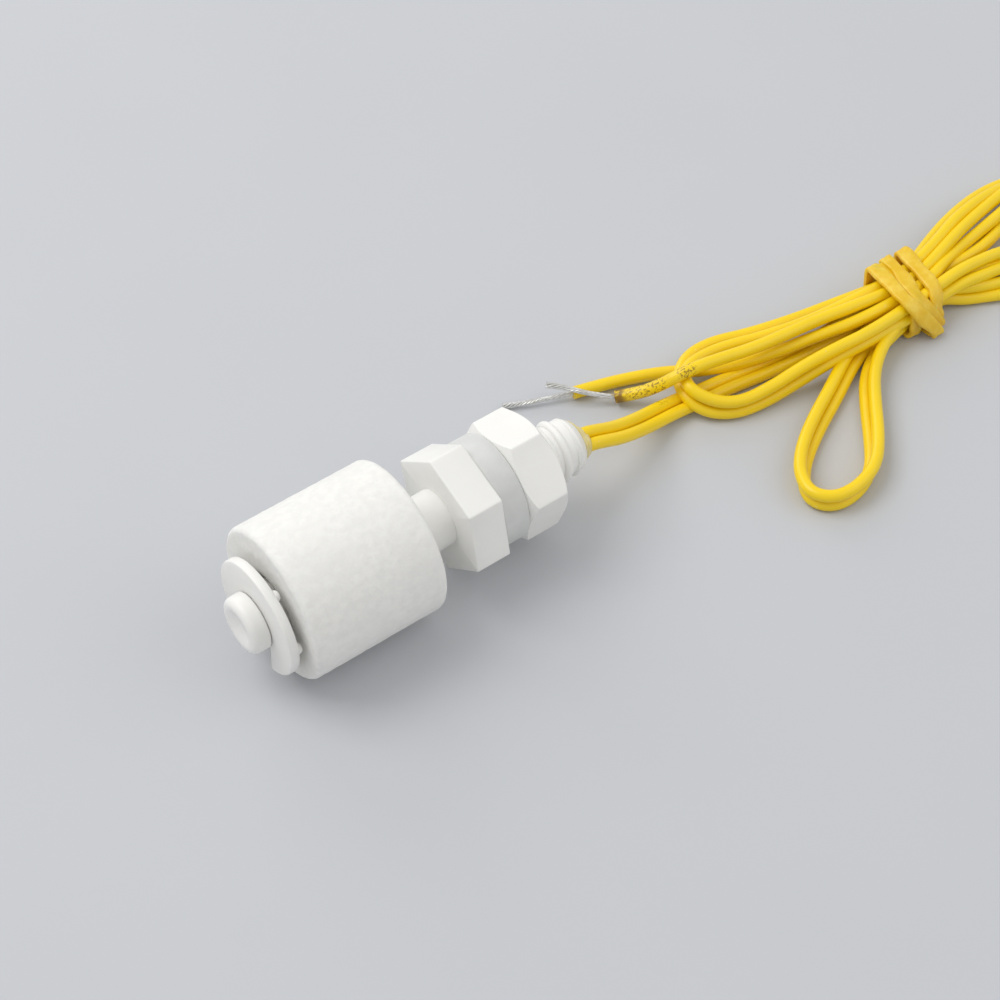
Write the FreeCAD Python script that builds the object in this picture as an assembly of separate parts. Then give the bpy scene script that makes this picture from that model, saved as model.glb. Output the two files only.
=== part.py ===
"""A small side-lying float level sensor with two lead wires folded into a banded hank.

All sizes are in millimetres. The sensor is first built along its own axis: X runs from the
tip to the cable end, and X = 0 is the front face of the hexagonal flange. It is then laid on
the surface z = 0, where it rests on the whole length of its float.
"""
import FreeCAD, Part

import math
import os

from FreeCAD import Vector

# Stem moulding: tip, float guide tube, hexagonal flange and threaded shank in one piece
STEM_DIAMETER = 6.6
TIP_LENGTH = 2.1
TIP_ROUNDING = 0.8
DISH_DIAMETER = 4.4
DISH_DEPTH = 0.5
GUIDE_LENGTH = 22.1
GROOVE_DIAMETER = 5.0
FLANGE_ACROSS_FLATS = 13.1
FLANGE_THICKNESS = 4.3
FLANGE_CORNER_ANGLE = 18.5
THREAD_DIAMETER = 7.2
THREAD_ROOT_DIAMETER = 6.7
THREAD_ROOT_FROM_NUT = 0.3
THREAD_LENGTH = 13.9
THREAD_END_CHAMFER = 0.8
BORE_DIAMETER = 4.4
BORE_FLOOR_SETBACK = 2.2

# Retaining clip pressed into the groove
CLIP_DIAMETER = 13.5
CLIP_THICKNESS = 1.2
CLIP_MOUTH_WIDTH = 4.8
CLIP_MOUTH_ANGLE = -88.0
CLIP_EDGE_ROUNDING = 0.3
CLIP_PIP_DIAMETER = 0.9
CLIP_PIP_HEIGHT = 0.5
CLIP_PIP_INSET = 0.9
CLIP_PIP_ANGLES = (115.0, 176.0)
CLIP_GROOVE_PLAY = 0.05

# Float with its ring magnet and the ring that closes the magnet's pocket
FLOAT_DIAMETER = 18.0
FLOAT_LENGTH = 16.4
FLOAT_EDGE_ROUNDING = 0.7
FLOAT_BORE_DIAMETER = 7.6
FLOAT_BORE_CHAMFER = 0.4
FLOAT_LIFT = 0.3
FLOAT_SIDE = 0.3
FLOAT_REST_GAP = 0.45
MAGNET_BORE_CLEARANCE = 0.3
MAGNET_WALL = 2.2
MAGNET_LENGTH = 5.0
MAGNET_PLAY = 0.06
COVER_THICKNESS = 1.4

# Seal washer and mounting nut
WASHER_DIAMETER = 12.7
WASHER_THICKNESS = 3.3
WASHER_EDGE_ROUNDING = 0.35
NUT_ACROSS_FLATS = 12.4
NUT_THICKNESS = 5.1
NUT_CORNER_ANGLE = 44.5
NUT_FACE_DIAMETER = 12.3
NUT_CHAMFER_ANGLE = 33.0
NUT_BORE_CHAMFER = 0.45
THREAD_PLAY = 0.08

# Reed switch inside the bore: glass, two leads and their solder joints
GLASS_DIAMETER = 2.0
GLASS_LENGTH = 14.0
GLASS_WALL = 0.3
GLASS_SEAL_LENGTH = 1.4
REED_CLEARANCE = 0.4
GLASS_SIDE = 0.75
GLASS_HEIGHT = 0.55
LEAD_DIAMETER = 0.5
LEAD_STUB = 3.6
BLADE_WIDTH = 1.0
BLADE_THICKNESS = 0.18
BLADE_OVERLAP = 1.2
BLADE_GAP = 0.12
SOLDER_DIAMETER = 1.5
SOLDER_LENGTH = 2.2

# Lead wires, their bared ends and the epoxy that seals them in the bore
WIRE_DIAMETER = 1.5
CONDUCTOR_DIAMETER = 0.6
STRIPPED_STUB = 1.6
WIRE_SPACING = 1.53
EXIT_SIDE = -0.22
EXIT_HEIGHT = -0.6
EXIT_LEAN = 19.0
EPOXY_LENGTH = 13.0
EPOXY_DOME_DIAMETER = 5.0
EPOXY_DOME_HEIGHT = 0.7

# Rubber band round the hank
BAND_WIDTH = 2.3
BAND_CENTRE_X = 71.3
BAND_TURNS = ((-0.9, 24.0, 0.56), (0.2, 6.0, 0.66), (0.4, -22.0, 0.76))

# Centre line of the pair of wires from the exit to the hank: x, y, z and the pair's lean
PAIR_EXIT_ROUTE = (
    (23.20, -0.22, 8.10, 19.0),
    (25.10, -0.15, 7.25, 19.0),
    (27.30, 0.05, 6.00, 21.0),
    (30.30, 0.70, 4.35, 24.0),
    (33.90, 1.70, 2.55, 22.0),
    (37.40, 2.45, 1.30, 14.0),
    (41.30, 2.25, 0.95, 6.0),
)
# Centre line of the pair of wires along the teardrop loop beside the hank
PAIR_LOOP_ROUTE = (
    (64.30, -2.45, 1.42, -40.0),
    (59.70, -3.95, 1.42, -48.0),
    (54.40, -6.90, 1.40, -50.0),
    (49.20, -9.55, 1.40, -52.0),
    (45.10, -12.20, 1.47, -60.0),
    (42.50, -14.90, 1.52, -72.0),
    (41.70, -17.60, 1.53, -82.0),
    (43.50, -19.65, 1.54, -88.0),
    (46.90, -19.75, 1.54, -85.0),
    (50.50, -18.20, 1.52, -72.0),
    (53.50, -14.90, 1.47, -58.0),
    (56.50, -10.90, 1.47, -52.0),
    (59.40, -7.45, 1.55, -52.0),
    (62.90, -5.10, 1.75, -65.0),
    (67.00, -3.90, 2.10, -85.0),
)
# Centre lines of the two free ends, from the hank to the ends of their insulation
WIRE_A_END_ROUTE = (
    (48.90, 1.90, 4.65),
    (45.00, 2.50, 5.05),
    (41.90, 2.95, 5.30),
    (39.50, 3.40, 4.95),
    (37.60, 4.70, 3.20),
    (35.80, 6.20, 1.75),
    (33.80, 7.80, 1.05),
)
WIRE_B_END_ROUTE = (
    (47.20, 3.10, 1.95),
    (44.00, 5.10, 1.30),
    (41.20, 7.50, 0.90),
    (37.30, 9.20, 0.88),
    (33.60, 10.40, 0.95),
    (30.29, 11.33, 0.90),
)
# Bared conductor beyond each free end
STRAND_A_ROUTE = (
    (33.80, 7.80, 1.05),
    (31.96, 9.13, 1.45),
    (30.52, 10.32, 1.90),
    (29.32, 11.87, 2.10),
    (27.81, 13.30, 2.15),
)
STRAND_B_ROUTE = (
    (30.29, 11.33, 0.90),
    (27.52, 12.41, 0.85),
    (24.77, 13.61, 0.65),
    (22.74, 14.83, 0.45),
)
# Tied waist of the hank: middle y, half width, lowest z, half height
HANK_WAIST = (-0.9, 3.65, 0.82, 2.05)
# Sections of the hank along X: x, middle y, half width, lowest z, half height
HANK_SECTIONS = (
    (39.3, 2.5, 1.5, 0.60, 1.0),
    (41.0, 2.4, 3.9, 0.10, 1.9),
    (44.0, 2.2, 5.2, 0.06, 2.2),
    (48.0, 1.9, 5.6, 0.06, 2.3),
    (52.5, 1.0, 5.1, 0.06, 2.35),
    (57.5, 0.2, 4.6, 0.06, 2.4),
    (63.0, -0.5, 4.0, 0.40, 2.25),
    (68.0, *HANK_WAIST),
    (74.6, *HANK_WAIST),
    (79.9, -0.6, 5.0, 0.30, 2.25),
    (86.0, -0.5, 7.2, 0.06, 2.2),
    (93.0, -0.4, 8.4, 0.06, 2.1),
    (99.0, -0.5, 7.8, 0.06, 1.9),
    (103.0, -0.7, 5.2, 0.06, 1.5),
    (105.4, -0.9, 2.2, 0.06, 0.9),
)
ARC_SHARE = 0.45

# Places along the sensor's own axis
FLANGE_REAR = FLANGE_THICKNESS
WASHER_REAR = FLANGE_REAR + WASHER_THICKNESS
NUT_REAR = WASHER_REAR + NUT_THICKNESS
THREAD_END = FLANGE_REAR + THREAD_LENGTH
DOME_END = THREAD_END + EPOXY_DOME_HEIGHT
CLIP_REAR = -GUIDE_LENGTH
CLIP_FRONT = CLIP_REAR - CLIP_THICKNESS
TIP_END = CLIP_FRONT - TIP_LENGTH
BORE_FLOOR = CLIP_REAR + BORE_FLOOR_SETBACK
GLASS_START = BORE_FLOOR + REED_CLEARANCE + LEAD_STUB
FLOAT_FRONT = CLIP_REAR + CLIP_PIP_HEIGHT + FLOAT_REST_GAP
FLOAT_REAR = FLOAT_FRONT + FLOAT_LENGTH
MAGNET_BORE_DIAMETER = FLOAT_BORE_DIAMETER + 2 * MAGNET_BORE_CLEARANCE
MAGNET_DIAMETER = MAGNET_BORE_DIAMETER + 2 * MAGNET_WALL
POCKET_DIAMETER = MAGNET_DIAMETER + 2 * MAGNET_PLAY
COVER_FRONT = FLOAT_REAR - COVER_THICKNESS
MAGNET_REAR = COVER_FRONT - MAGNET_PLAY
MAGNET_FRONT = MAGNET_REAR - MAGNET_LENGTH
POCKET_FLOOR = MAGNET_FRONT - MAGNET_PLAY
NUT_CORNER_RADIUS = NUT_ACROSS_FLATS / 2 / math.cos(math.pi / 6)
NUT_CORNER_CHAMFER = (NUT_CORNER_RADIUS - NUT_FACE_DIAMETER / 2) * math.tan(math.radians(NUT_CHAMFER_ANGLE))
GLASS_END = GLASS_START + GLASS_LENGTH
BLADE_MIDDLE = (GLASS_START + GLASS_END) / 2
FLANGE_X = -(TIP_END + DOME_END) / 2
FLANGE_HEIGHT = FLOAT_DIAMETER / 2 - FLOAT_LIFT

X_AXIS = Vector(1, 0, 0)
Y_AXIS = Vector(0, 1, 0)
Z_AXIS = Vector(0, 0, 1)


def laid_down(shape):
    """Move a shape from the sensor's own axis to where the sensor rests."""
    return shape.translated(Vector(FLANGE_X, 0, FLANGE_HEIGHT))


def laid_point(along, side, height):
    """The resting place of one point of the sensor's own axis system."""
    return Vector(FLANGE_X + along, side, FLANGE_HEIGHT + height)


def turned(outline):
    """Solid of revolution about the X axis from (along, radius) points."""
    points = [Vector(along, radius, 0) for along, radius in outline]
    face = Part.Face(Part.makePolygon(points + points[:1]))
    return face.revolve(Vector(0, 0, 0), X_AXIS, 360)


def rod(radius, start, end, side=0.0, height=0.0):
    """Plain cylinder along the X axis."""
    return Part.makeCylinder(radius, end - start, Vector(start, side, height), X_AXIS)


def hexagon(across_flats, corner_angle, start, end):
    """Hexagonal prism along the X axis."""
    radius = across_flats / 2 / math.cos(math.pi / 6)
    corners = []
    for k in range(6):
        angle = math.radians(corner_angle + 60 * k)
        corners.append(Vector(start, radius * math.cos(angle), radius * math.sin(angle)))
    face = Part.Face(Part.makePolygon(corners + corners[:1]))
    return face.extrude(Vector(end - start, 0, 0))


def circular_edges(shape, radius, along):
    """The full circles of one radius at one place on the X axis."""
    found = []
    for edge in shape.Edges:
        if isinstance(edge.Curve, Part.Circle) and abs(edge.Curve.Radius - radius) < 1e-4:
            if abs(edge.Curve.Center.x - along) < 1e-4:
                found.append(edge)
    return found


def stem_body():
    """Tip, guide tube, hexagonal flange and threaded shank, bored from the cable end."""
    stem = STEM_DIAMETER / 2
    groove = GROOVE_DIAMETER / 2
    thread = THREAD_DIAMETER / 2
    root = THREAD_ROOT_DIAMETER / 2
    groove_front = CLIP_FRONT - CLIP_GROOVE_PLAY
    groove_rear = CLIP_REAR + CLIP_GROOVE_PLAY
    body = turned((
        (TIP_END, 0),
        (TIP_END, stem),
        (groove_front, stem),
        (groove_front, groove),
        (groove_rear, groove),
        (groove_rear, stem),
        (FLANGE_REAR / 2, stem),
        (FLANGE_REAR / 2, thread),
        (NUT_REAR + THREAD_ROOT_FROM_NUT, thread),
        (NUT_REAR + THREAD_ROOT_FROM_NUT, root),
        (THREAD_END - THREAD_END_CHAMFER, root),
        (THREAD_END, root - THREAD_END_CHAMFER),
        (THREAD_END, 0),
    ))
    body = body.makeFillet(TIP_ROUNDING, circular_edges(body, stem, TIP_END))
    flange = hexagon(FLANGE_ACROSS_FLATS, FLANGE_CORNER_ANGLE, 0, FLANGE_REAR)
    ball_radius = ((DISH_DIAMETER / 2) ** 2 + DISH_DEPTH ** 2) / (2 * DISH_DEPTH)
    dish = Part.makeSphere(ball_radius, Vector(TIP_END + DISH_DEPTH - ball_radius, 0, 0))
    bore = rod(BORE_DIAMETER / 2, BORE_FLOOR, THREAD_END + 1)
    return body.fuse(flange).cut(dish).cut(bore).removeSplitter()


def retaining_clip():
    """Flat disc with a mouth that snaps over the groove, and two pips that face the float."""
    radius = CLIP_DIAMETER / 2
    disc = rod(radius, CLIP_FRONT, CLIP_REAR)
    disc = disc.makeFillet(CLIP_EDGE_ROUNDING, disc.Edges)
    pip = CLIP_PIP_DIAMETER / 2
    reach = radius - CLIP_PIP_INSET
    for angle in CLIP_PIP_ANGLES:
        side = reach * math.cos(math.radians(angle))
        height = reach * math.sin(math.radians(angle))
        disc = disc.fuse(rod(pip, CLIP_FRONT + CLIP_THICKNESS / 2, CLIP_REAR + CLIP_PIP_HEIGHT, side, height))
    hole = rod(GROOVE_DIAMETER / 2, CLIP_FRONT - 1, CLIP_REAR + 1)
    corner = Vector(CLIP_FRONT - 1, 0, -CLIP_MOUTH_WIDTH / 2)
    mouth = Part.makeBox(CLIP_THICKNESS + 2, radius + 1, CLIP_MOUTH_WIDTH, corner)
    mouth.rotate(Vector(0, 0, 0), X_AXIS, CLIP_MOUTH_ANGLE)
    return disc.cut(hole).cut(mouth)


def on_float_axis(shape):
    """Move a shape to the float's own axis: the stem lies low and to one side in the float's bore."""
    return shape.translated(Vector(0, FLOAT_SIDE, FLOAT_LIFT))


def float_body():
    """Foamed cylinder with the guide bore and the magnet's pocket."""
    outer = FLOAT_DIAMETER / 2
    bore = FLOAT_BORE_DIAMETER / 2
    pocket = POCKET_DIAMETER / 2
    body = turned((
        (FLOAT_FRONT, bore + FLOAT_BORE_CHAMFER),
        (FLOAT_FRONT, outer),
        (FLOAT_REAR, outer),
        (FLOAT_REAR, pocket),
        (POCKET_FLOOR, pocket),
        (POCKET_FLOOR, bore),
        (FLOAT_FRONT + FLOAT_BORE_CHAMFER, bore),
    ))
    rims = circular_edges(body, outer, FLOAT_FRONT) + circular_edges(body, outer, FLOAT_REAR)
    return on_float_axis(body.makeFillet(FLOAT_EDGE_ROUNDING, rims))


def ring_magnet():
    """Ring magnet that works the reed switch as the float rises and falls."""
    outer = rod(MAGNET_DIAMETER / 2, MAGNET_FRONT, MAGNET_REAR)
    return on_float_axis(outer.cut(rod(MAGNET_BORE_DIAMETER / 2, MAGNET_FRONT - 1, MAGNET_REAR + 1)))


def magnet_cover():
    """Ring that closes the magnet's pocket, flush with the float's rear face."""
    bore = FLOAT_BORE_DIAMETER / 2
    return on_float_axis(turned((
        (COVER_FRONT, bore),
        (COVER_FRONT, POCKET_DIAMETER / 2),
        (FLOAT_REAR, POCKET_DIAMETER / 2),
        (FLOAT_REAR, bore + FLOAT_BORE_CHAMFER),
        (FLOAT_REAR - FLOAT_BORE_CHAMFER, bore),
    )))


def seal_washer():
    """Soft ring between the flange and the nut."""
    outer = WASHER_DIAMETER / 2
    ring = rod(outer, FLANGE_REAR, WASHER_REAR)
    ring = ring.makeFillet(WASHER_EDGE_ROUNDING, circular_edges(ring, outer, WASHER_REAR))
    return ring.cut(rod(THREAD_DIAMETER / 2 + THREAD_PLAY, FLANGE_REAR - 1, WASHER_REAR + 1))


def mounting_nut():
    """Hexagon nut, chamfered on both faces."""
    face = NUT_FACE_DIAMETER / 2
    slope = math.tan(math.radians(NUT_CHAMFER_ANGLE))
    reach = NUT_CORNER_RADIUS + 1
    depth = (reach - face) * slope
    bore = THREAD_DIAMETER / 2 + THREAD_PLAY
    prism = hexagon(NUT_ACROSS_FLATS, NUT_CORNER_ANGLE, WASHER_REAR, NUT_REAR)
    blank = turned((
        (WASHER_REAR, 0),
        (WASHER_REAR, face),
        (WASHER_REAR + depth, reach),
        (NUT_REAR - depth, reach),
        (NUT_REAR, face),
        (NUT_REAR, 0),
    ))
    hole = turned((
        (WASHER_REAR - 1, 0),
        (WASHER_REAR - 1, bore + NUT_BORE_CHAMFER),
        (WASHER_REAR, bore + NUT_BORE_CHAMFER),
        (WASHER_REAR + NUT_BORE_CHAMFER, bore),
        (NUT_REAR - NUT_BORE_CHAMFER, bore),
        (NUT_REAR, bore + NUT_BORE_CHAMFER),
        (NUT_REAR + 1, bore + NUT_BORE_CHAMFER),
        (NUT_REAR + 1, 0),
    ))
    return prism.common(blank).cut(hole)


def reed_glass():
    """Glass capsule, sealed round a lead at each end."""
    outer = GLASS_DIAMETER / 2
    inner = outer - GLASS_WALL
    lead = LEAD_DIAMETER / 2
    shell = turned((
        (GLASS_START, lead),
        (GLASS_START, outer * 0.75),
        (GLASS_START + outer * 0.5, outer),
        (GLASS_END - outer * 0.5, outer),
        (GLASS_END, outer * 0.75),
        (GLASS_END, lead),
        (GLASS_END - GLASS_SEAL_LENGTH, lead),
        (GLASS_END - GLASS_SEAL_LENGTH - inner, inner),
        (GLASS_START + GLASS_SEAL_LENGTH + inner, inner),
        (GLASS_START + GLASS_SEAL_LENGTH, lead),
    ))
    return shell.translated(Vector(0, GLASS_SIDE, GLASS_HEIGHT))


def reed_blade(outward, bottom):
    """One lead with its flattened contact blade: outward is -1 towards the tip, 1 towards the cable."""
    glass_face = GLASS_END if outward > 0 else GLASS_START
    blade_root = glass_face - outward * (GLASS_SEAL_LENGTH + GLASS_DIAMETER / 2)
    blade_tip = BLADE_MIDDLE - outward * BLADE_OVERLAP / 2
    low, high = sorted((glass_face + outward * LEAD_STUB, blade_root - outward * LEAD_DIAMETER))
    lead = rod(LEAD_DIAMETER / 2, low, high, GLASS_SIDE, GLASS_HEIGHT)
    low, high = sorted((blade_root, blade_tip))
    corner = Vector(low, GLASS_SIDE - BLADE_WIDTH / 2, GLASS_HEIGHT + bottom)
    return lead.fuse(Part.makeBox(high - low, BLADE_WIDTH, BLADE_THICKNESS, corner))


def exit_offsets():
    """Side and height of each wire where it leaves the epoxy."""
    half = WIRE_SPACING / 2
    lean = math.radians(EXIT_LEAN)
    wire_a = (EXIT_SIDE + half * math.cos(lean), EXIT_HEIGHT + half * math.sin(lean))
    wire_b = (EXIT_SIDE - half * math.cos(lean), EXIT_HEIGHT - half * math.sin(lean))
    return wire_a, wire_b


def inner_wire(offset, start):
    """Straight insulated wire in the bore with a bared stub at its inner end."""
    insulation = rod(WIRE_DIAMETER / 2, start, DOME_END, *offset)
    return insulation.fuse(rod(CONDUCTOR_DIAMETER / 2, start - STRIPPED_STUB, start, *offset))


def far_lead_bridge(offset, start):
    """Bent part of the far lead, across the bore to the return wire's stub."""
    lead_end = Vector(GLASS_START - LEAD_STUB + LEAD_DIAMETER, GLASS_SIDE, GLASS_HEIGHT)
    target = Vector(start - STRIPPED_STUB / 2, *offset)
    way = target - lead_end
    return Part.makeCylinder(LEAD_DIAMETER / 2, way.Length, lead_end, way)


def solder_joint(middle, side, height, kept_clear):
    """Rounded bead of solder round a lead and a stub."""
    radius = SOLDER_DIAMETER / 2
    half = SOLDER_LENGTH / 2
    bead = turned((
        (middle - half, 0),
        (middle - half, radius * 0.55),
        (middle - half + radius * 0.5, radius),
        (middle + half - radius * 0.5, radius),
        (middle + half, radius * 0.55),
        (middle + half, 0),
    )).translated(Vector(0, side, height))
    for solid in kept_clear:
        bead = bead.cut(solid)
    return max(bead.Solids, key=lambda solid: solid.Volume)


def potting_plug(wires):
    """Epoxy in the end of the bore, domed where the wires come out."""
    plug = rod(BORE_DIAMETER / 2, THREAD_END - EPOXY_LENGTH, THREAD_END)
    base = EPOXY_DOME_DIAMETER / 2
    ball_radius = (base ** 2 + EPOXY_DOME_HEIGHT ** 2) / (2 * EPOXY_DOME_HEIGHT)
    ball = Part.makeSphere(ball_radius, Vector(DOME_END - ball_radius, 0, 0))
    dome = ball.common(rod(base + 1, THREAD_END, DOME_END + 1))
    plug = plug.fuse(dome)
    for wire in wires:
        plug = plug.cut(wire)
    return plug


def side_of(route, side):
    """One wire's own points, half a spacing to its side of the pair's centre line."""
    points = []
    for k, (x, y, z, lean) in enumerate(route):
        before = route[max(k - 1, 0)]
        after = route[min(k + 1, len(route) - 1)]
        heading = math.atan2(after[1] - before[1], after[0] - before[0])
        out = side * WIRE_SPACING / 2 * math.cos(math.radians(lean))
        up = side * WIRE_SPACING / 2 * math.sin(math.radians(lean))
        points.append(Vector(x - out * math.sin(heading), y + out * math.cos(heading), z + up))
    return points


def tube(name, points, diameter):
    """Round tube along straight runs joined by tangent arcs as large as the runs allow."""
    edges = []
    radii = []
    length = 0.0
    last = points[0]
    for before, corner, after in zip(points, points[1:], points[2:]):
        back = (before - corner).normalize()
        ahead = (after - corner).normalize()
        half_turn = (math.pi - back.getAngle(ahead)) / 2
        reach = ARC_SHARE * min((before - corner).Length, (after - corner).Length)
        radius = reach / math.tan(half_turn)
        enter = corner + back * reach
        leave = corner + ahead * reach
        inward = (back + ahead).normalize()
        middle = corner + inward * (radius / math.cos(half_turn) - radius)
        edges.append(Part.LineSegment(last, enter).toShape())
        edges.append(Part.Arc(enter, middle, leave).toShape())
        radii.append(radius)
        length += (enter - last).Length + 2 * half_turn * radius
        last = leave
    edges.append(Part.LineSegment(last, points[-1]).toShape())
    length += (points[-1] - last).Length
    start = Part.makeCircle(diameter / 2, points[0], points[1] - points[0])
    solid = Part.Wire(edges).makePipeShell([Part.Wire(start)], True, False)
    expected = math.pi * diameter ** 2 / 4 * length
    tightest = min(radii) / diameter
    print(f"{name}: length {length:.1f}, tightest arc {tightest:.1f} diameters,"
          f" volume {solid.Volume / expected:.4f} of section times length")
    return solid


def hank_section(x, middle, half_width, low, half_height):
    """Oval section of the hank across X."""
    centre = Vector(x, middle, low + half_height)
    wide = centre + Y_AXIS * max(half_width, half_height)
    tall = centre + Z_AXIS * min(half_width, half_height)
    return Part.Wire(Part.Ellipse(wide, tall, centre).toShape())


def wire_hank():
    """Outer shape of the folded wires: the left bights, the tied waist and the loose right bights."""
    return Part.makeLoft([hank_section(*section) for section in HANK_SECTIONS], True, True)


def rubber_band():
    """Turns of a rubber band crossing each other round the waist of the hank."""
    middle, half_width, low, half_height = HANK_WAIST
    start = BAND_CENTRE_X - BAND_WIDTH / 2
    turns = []
    for shift, angle, thickness in BAND_TURNS:
        outline = hank_section(start + shift, middle, half_width + thickness,
                               low - thickness, half_height + thickness)
        inside = hank_section(start + shift, middle, half_width, low, half_height)
        turn = Part.Face(outline).extrude(X_AXIS * BAND_WIDTH)
        turn = turn.cut(Part.Face(inside).extrude(X_AXIS * BAND_WIDTH))
        turn.rotate(Vector(BAND_CENTRE_X + shift, middle, 0), Z_AXIS, angle)
        turns.append(turn)
    return turns[0].fuse(turns[1:])


def save(name, shape):
    """Write one sub-part and print its size."""
    solids = shape.Solids
    box = shape.BoundBox
    print(f"{name}: {len(solids)} solid, valid {shape.isValid()}, volume {shape.Volume:.3f},"
          f" x {box.XMin:.2f} {box.XMax:.2f}, y {box.YMin:.2f} {box.YMax:.2f}, z {box.ZMin:.2f} {box.ZMax:.2f}")
    kept = solids[0] if len(solids) == 1 else Part.makeCompound(solids)
    kept.exportStep(os.path.join("parts", name + ".step"))


def sensor_parts():
    """Every rigid piece of the sensor, in the sensor's own axis system."""
    offset_a, offset_b = exit_offsets()
    near_start = GLASS_END + LEAD_STUB
    far_start = GLASS_START - LEAD_DIAMETER
    near_wire = inner_wire(offset_a, near_start)
    return_wire = inner_wire(offset_b, far_start)
    near_blade = reed_blade(1, BLADE_GAP / 2)
    far_blade = reed_blade(-1, -BLADE_GAP / 2 - BLADE_THICKNESS)
    bridge = far_lead_bridge(offset_b, far_start)
    far_blade = far_blade.fuse(bridge.cut(return_wire))
    near_middle = ((GLASS_SIDE + offset_a[0]) / 2, (GLASS_HEIGHT + offset_a[1]) / 2)
    return {
        "stem_body": stem_body(),
        "retaining_clip": retaining_clip(),
        "float_body": float_body(),
        "ring_magnet": ring_magnet(),
        "magnet_cover": magnet_cover(),
        "seal_washer": seal_washer(),
        "mounting_nut": mounting_nut(),
        "reed_glass": reed_glass(),
        "reed_blade_near": near_blade,
        "reed_blade_far": far_blade,
        "solder_joint_near": solder_joint(near_start - STRIPPED_STUB / 2, *near_middle, (near_wire, near_blade)),
        "solder_joint_far": solder_joint(far_start - STRIPPED_STUB / 2, *offset_b, (return_wire, far_blade)),
        "inner_wire_near": near_wire,
        "inner_wire_return": return_wire,
        "potting_plug": potting_plug((near_wire, return_wire)),
    }


def wire_parts():
    """The free stretches of the two wires, their hank and its band, where they lie."""
    offset_a, offset_b = exit_offsets()
    exit_a = [laid_point(DOME_END, *offset_a)] + side_of(PAIR_EXIT_ROUTE, 1)
    exit_b = [laid_point(DOME_END, *offset_b)] + side_of(PAIR_EXIT_ROUTE, -1)
    tubes = {
        "exit_wire_a": (exit_a, WIRE_DIAMETER),
        "exit_wire_b": (exit_b, WIRE_DIAMETER),
        "loop_wire_a": (side_of(PAIR_LOOP_ROUTE, 1), WIRE_DIAMETER),
        "loop_wire_b": (side_of(PAIR_LOOP_ROUTE, -1), WIRE_DIAMETER),
        "end_wire_a": ([Vector(*point) for point in WIRE_A_END_ROUTE], WIRE_DIAMETER),
        "end_wire_b": ([Vector(*point) for point in WIRE_B_END_ROUTE], WIRE_DIAMETER),
        "tinned_end_a": ([Vector(*point) for point in STRAND_A_ROUTE], CONDUCTOR_DIAMETER),
        "tinned_end_b": ([Vector(*point) for point in STRAND_B_ROUTE], CONDUCTOR_DIAMETER),
    }
    parts = {name: tube(name, points, diameter) for name, (points, diameter) in tubes.items()}
    parts["wire_hank"] = wire_hank()
    parts["rubber_band"] = rubber_band()
    return parts


def main():
    os.makedirs("parts", exist_ok=True)
    for name, shape in sensor_parts().items():
        save(name, laid_down(shape))
    for name, shape in wire_parts().items():
        save(name, shape)


main()
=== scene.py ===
import math

import bpy
from bpy.props import FloatProperty, FloatVectorProperty, IntProperty, PointerProperty
from mathutils import Matrix, Vector, noise


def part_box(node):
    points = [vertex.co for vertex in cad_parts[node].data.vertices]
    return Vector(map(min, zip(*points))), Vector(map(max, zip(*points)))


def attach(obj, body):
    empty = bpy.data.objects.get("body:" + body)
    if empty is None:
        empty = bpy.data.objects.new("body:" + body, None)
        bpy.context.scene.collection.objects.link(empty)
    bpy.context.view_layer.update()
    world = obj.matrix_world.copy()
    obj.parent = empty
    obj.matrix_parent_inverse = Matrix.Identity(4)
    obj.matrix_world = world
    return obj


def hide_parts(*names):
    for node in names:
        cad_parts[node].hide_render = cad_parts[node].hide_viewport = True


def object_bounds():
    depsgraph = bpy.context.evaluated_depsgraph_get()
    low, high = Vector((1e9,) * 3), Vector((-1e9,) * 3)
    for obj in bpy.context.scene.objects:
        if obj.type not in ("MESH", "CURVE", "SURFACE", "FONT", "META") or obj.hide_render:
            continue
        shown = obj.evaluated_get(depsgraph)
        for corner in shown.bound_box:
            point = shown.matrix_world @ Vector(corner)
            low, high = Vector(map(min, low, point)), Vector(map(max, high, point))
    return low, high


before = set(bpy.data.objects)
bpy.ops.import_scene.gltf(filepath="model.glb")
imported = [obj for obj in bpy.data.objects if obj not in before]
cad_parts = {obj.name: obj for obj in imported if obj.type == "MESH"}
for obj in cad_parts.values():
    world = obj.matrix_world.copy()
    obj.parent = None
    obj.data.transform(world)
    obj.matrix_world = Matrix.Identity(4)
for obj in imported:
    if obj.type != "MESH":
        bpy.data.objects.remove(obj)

bl_info = {
    "name": "Float level switch",
    "version": (1, 0, 0),
    "blender": (4, 5, 0),
    "location": "View3D > Sidebar > Level switch",
    "description": "Builds a small float level switch with its lead wires in a banded hank",
    "category": "Add Mesh",
}

MM = 0.001
CAD_LOW, CAD_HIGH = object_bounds()

# Places that the pieces share, from the frame
STEM_LOW, STEM_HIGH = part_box("stem_body")
CLIP_LOW, CLIP_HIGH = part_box("retaining_clip")
FLOAT_LOW, FLOAT_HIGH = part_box("float_body")
WASHER_LOW, WASHER_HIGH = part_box("seal_washer")
NUT_LOW, NUT_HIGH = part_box("mounting_nut")
AXIS_HEIGHT = (STEM_LOW.z + STEM_HIGH.z) / 2
FLOAT_AXIS = ((FLOAT_LOW.y + FLOAT_HIGH.y) / 2, (FLOAT_LOW.z + FLOAT_HIGH.z) / 2)
STEM_AXIS = (0.0, AXIS_HEIGHT)
DOME_END = STEM_HIGH.x + 0.7 * MM

# Wires: their thickness, and how far apart a pair runs in millimetres
WIRE_DIAMETER = 1.5 * MM
WIRE_SPACING = 1.53

# Where the pair leaves the epoxy, off the stem's axis in millimetres, and its lean in degrees
EXIT_SIDE = -0.22
EXIT_HEIGHT = -0.6
EXIT_LEAN = 19.0

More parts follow.
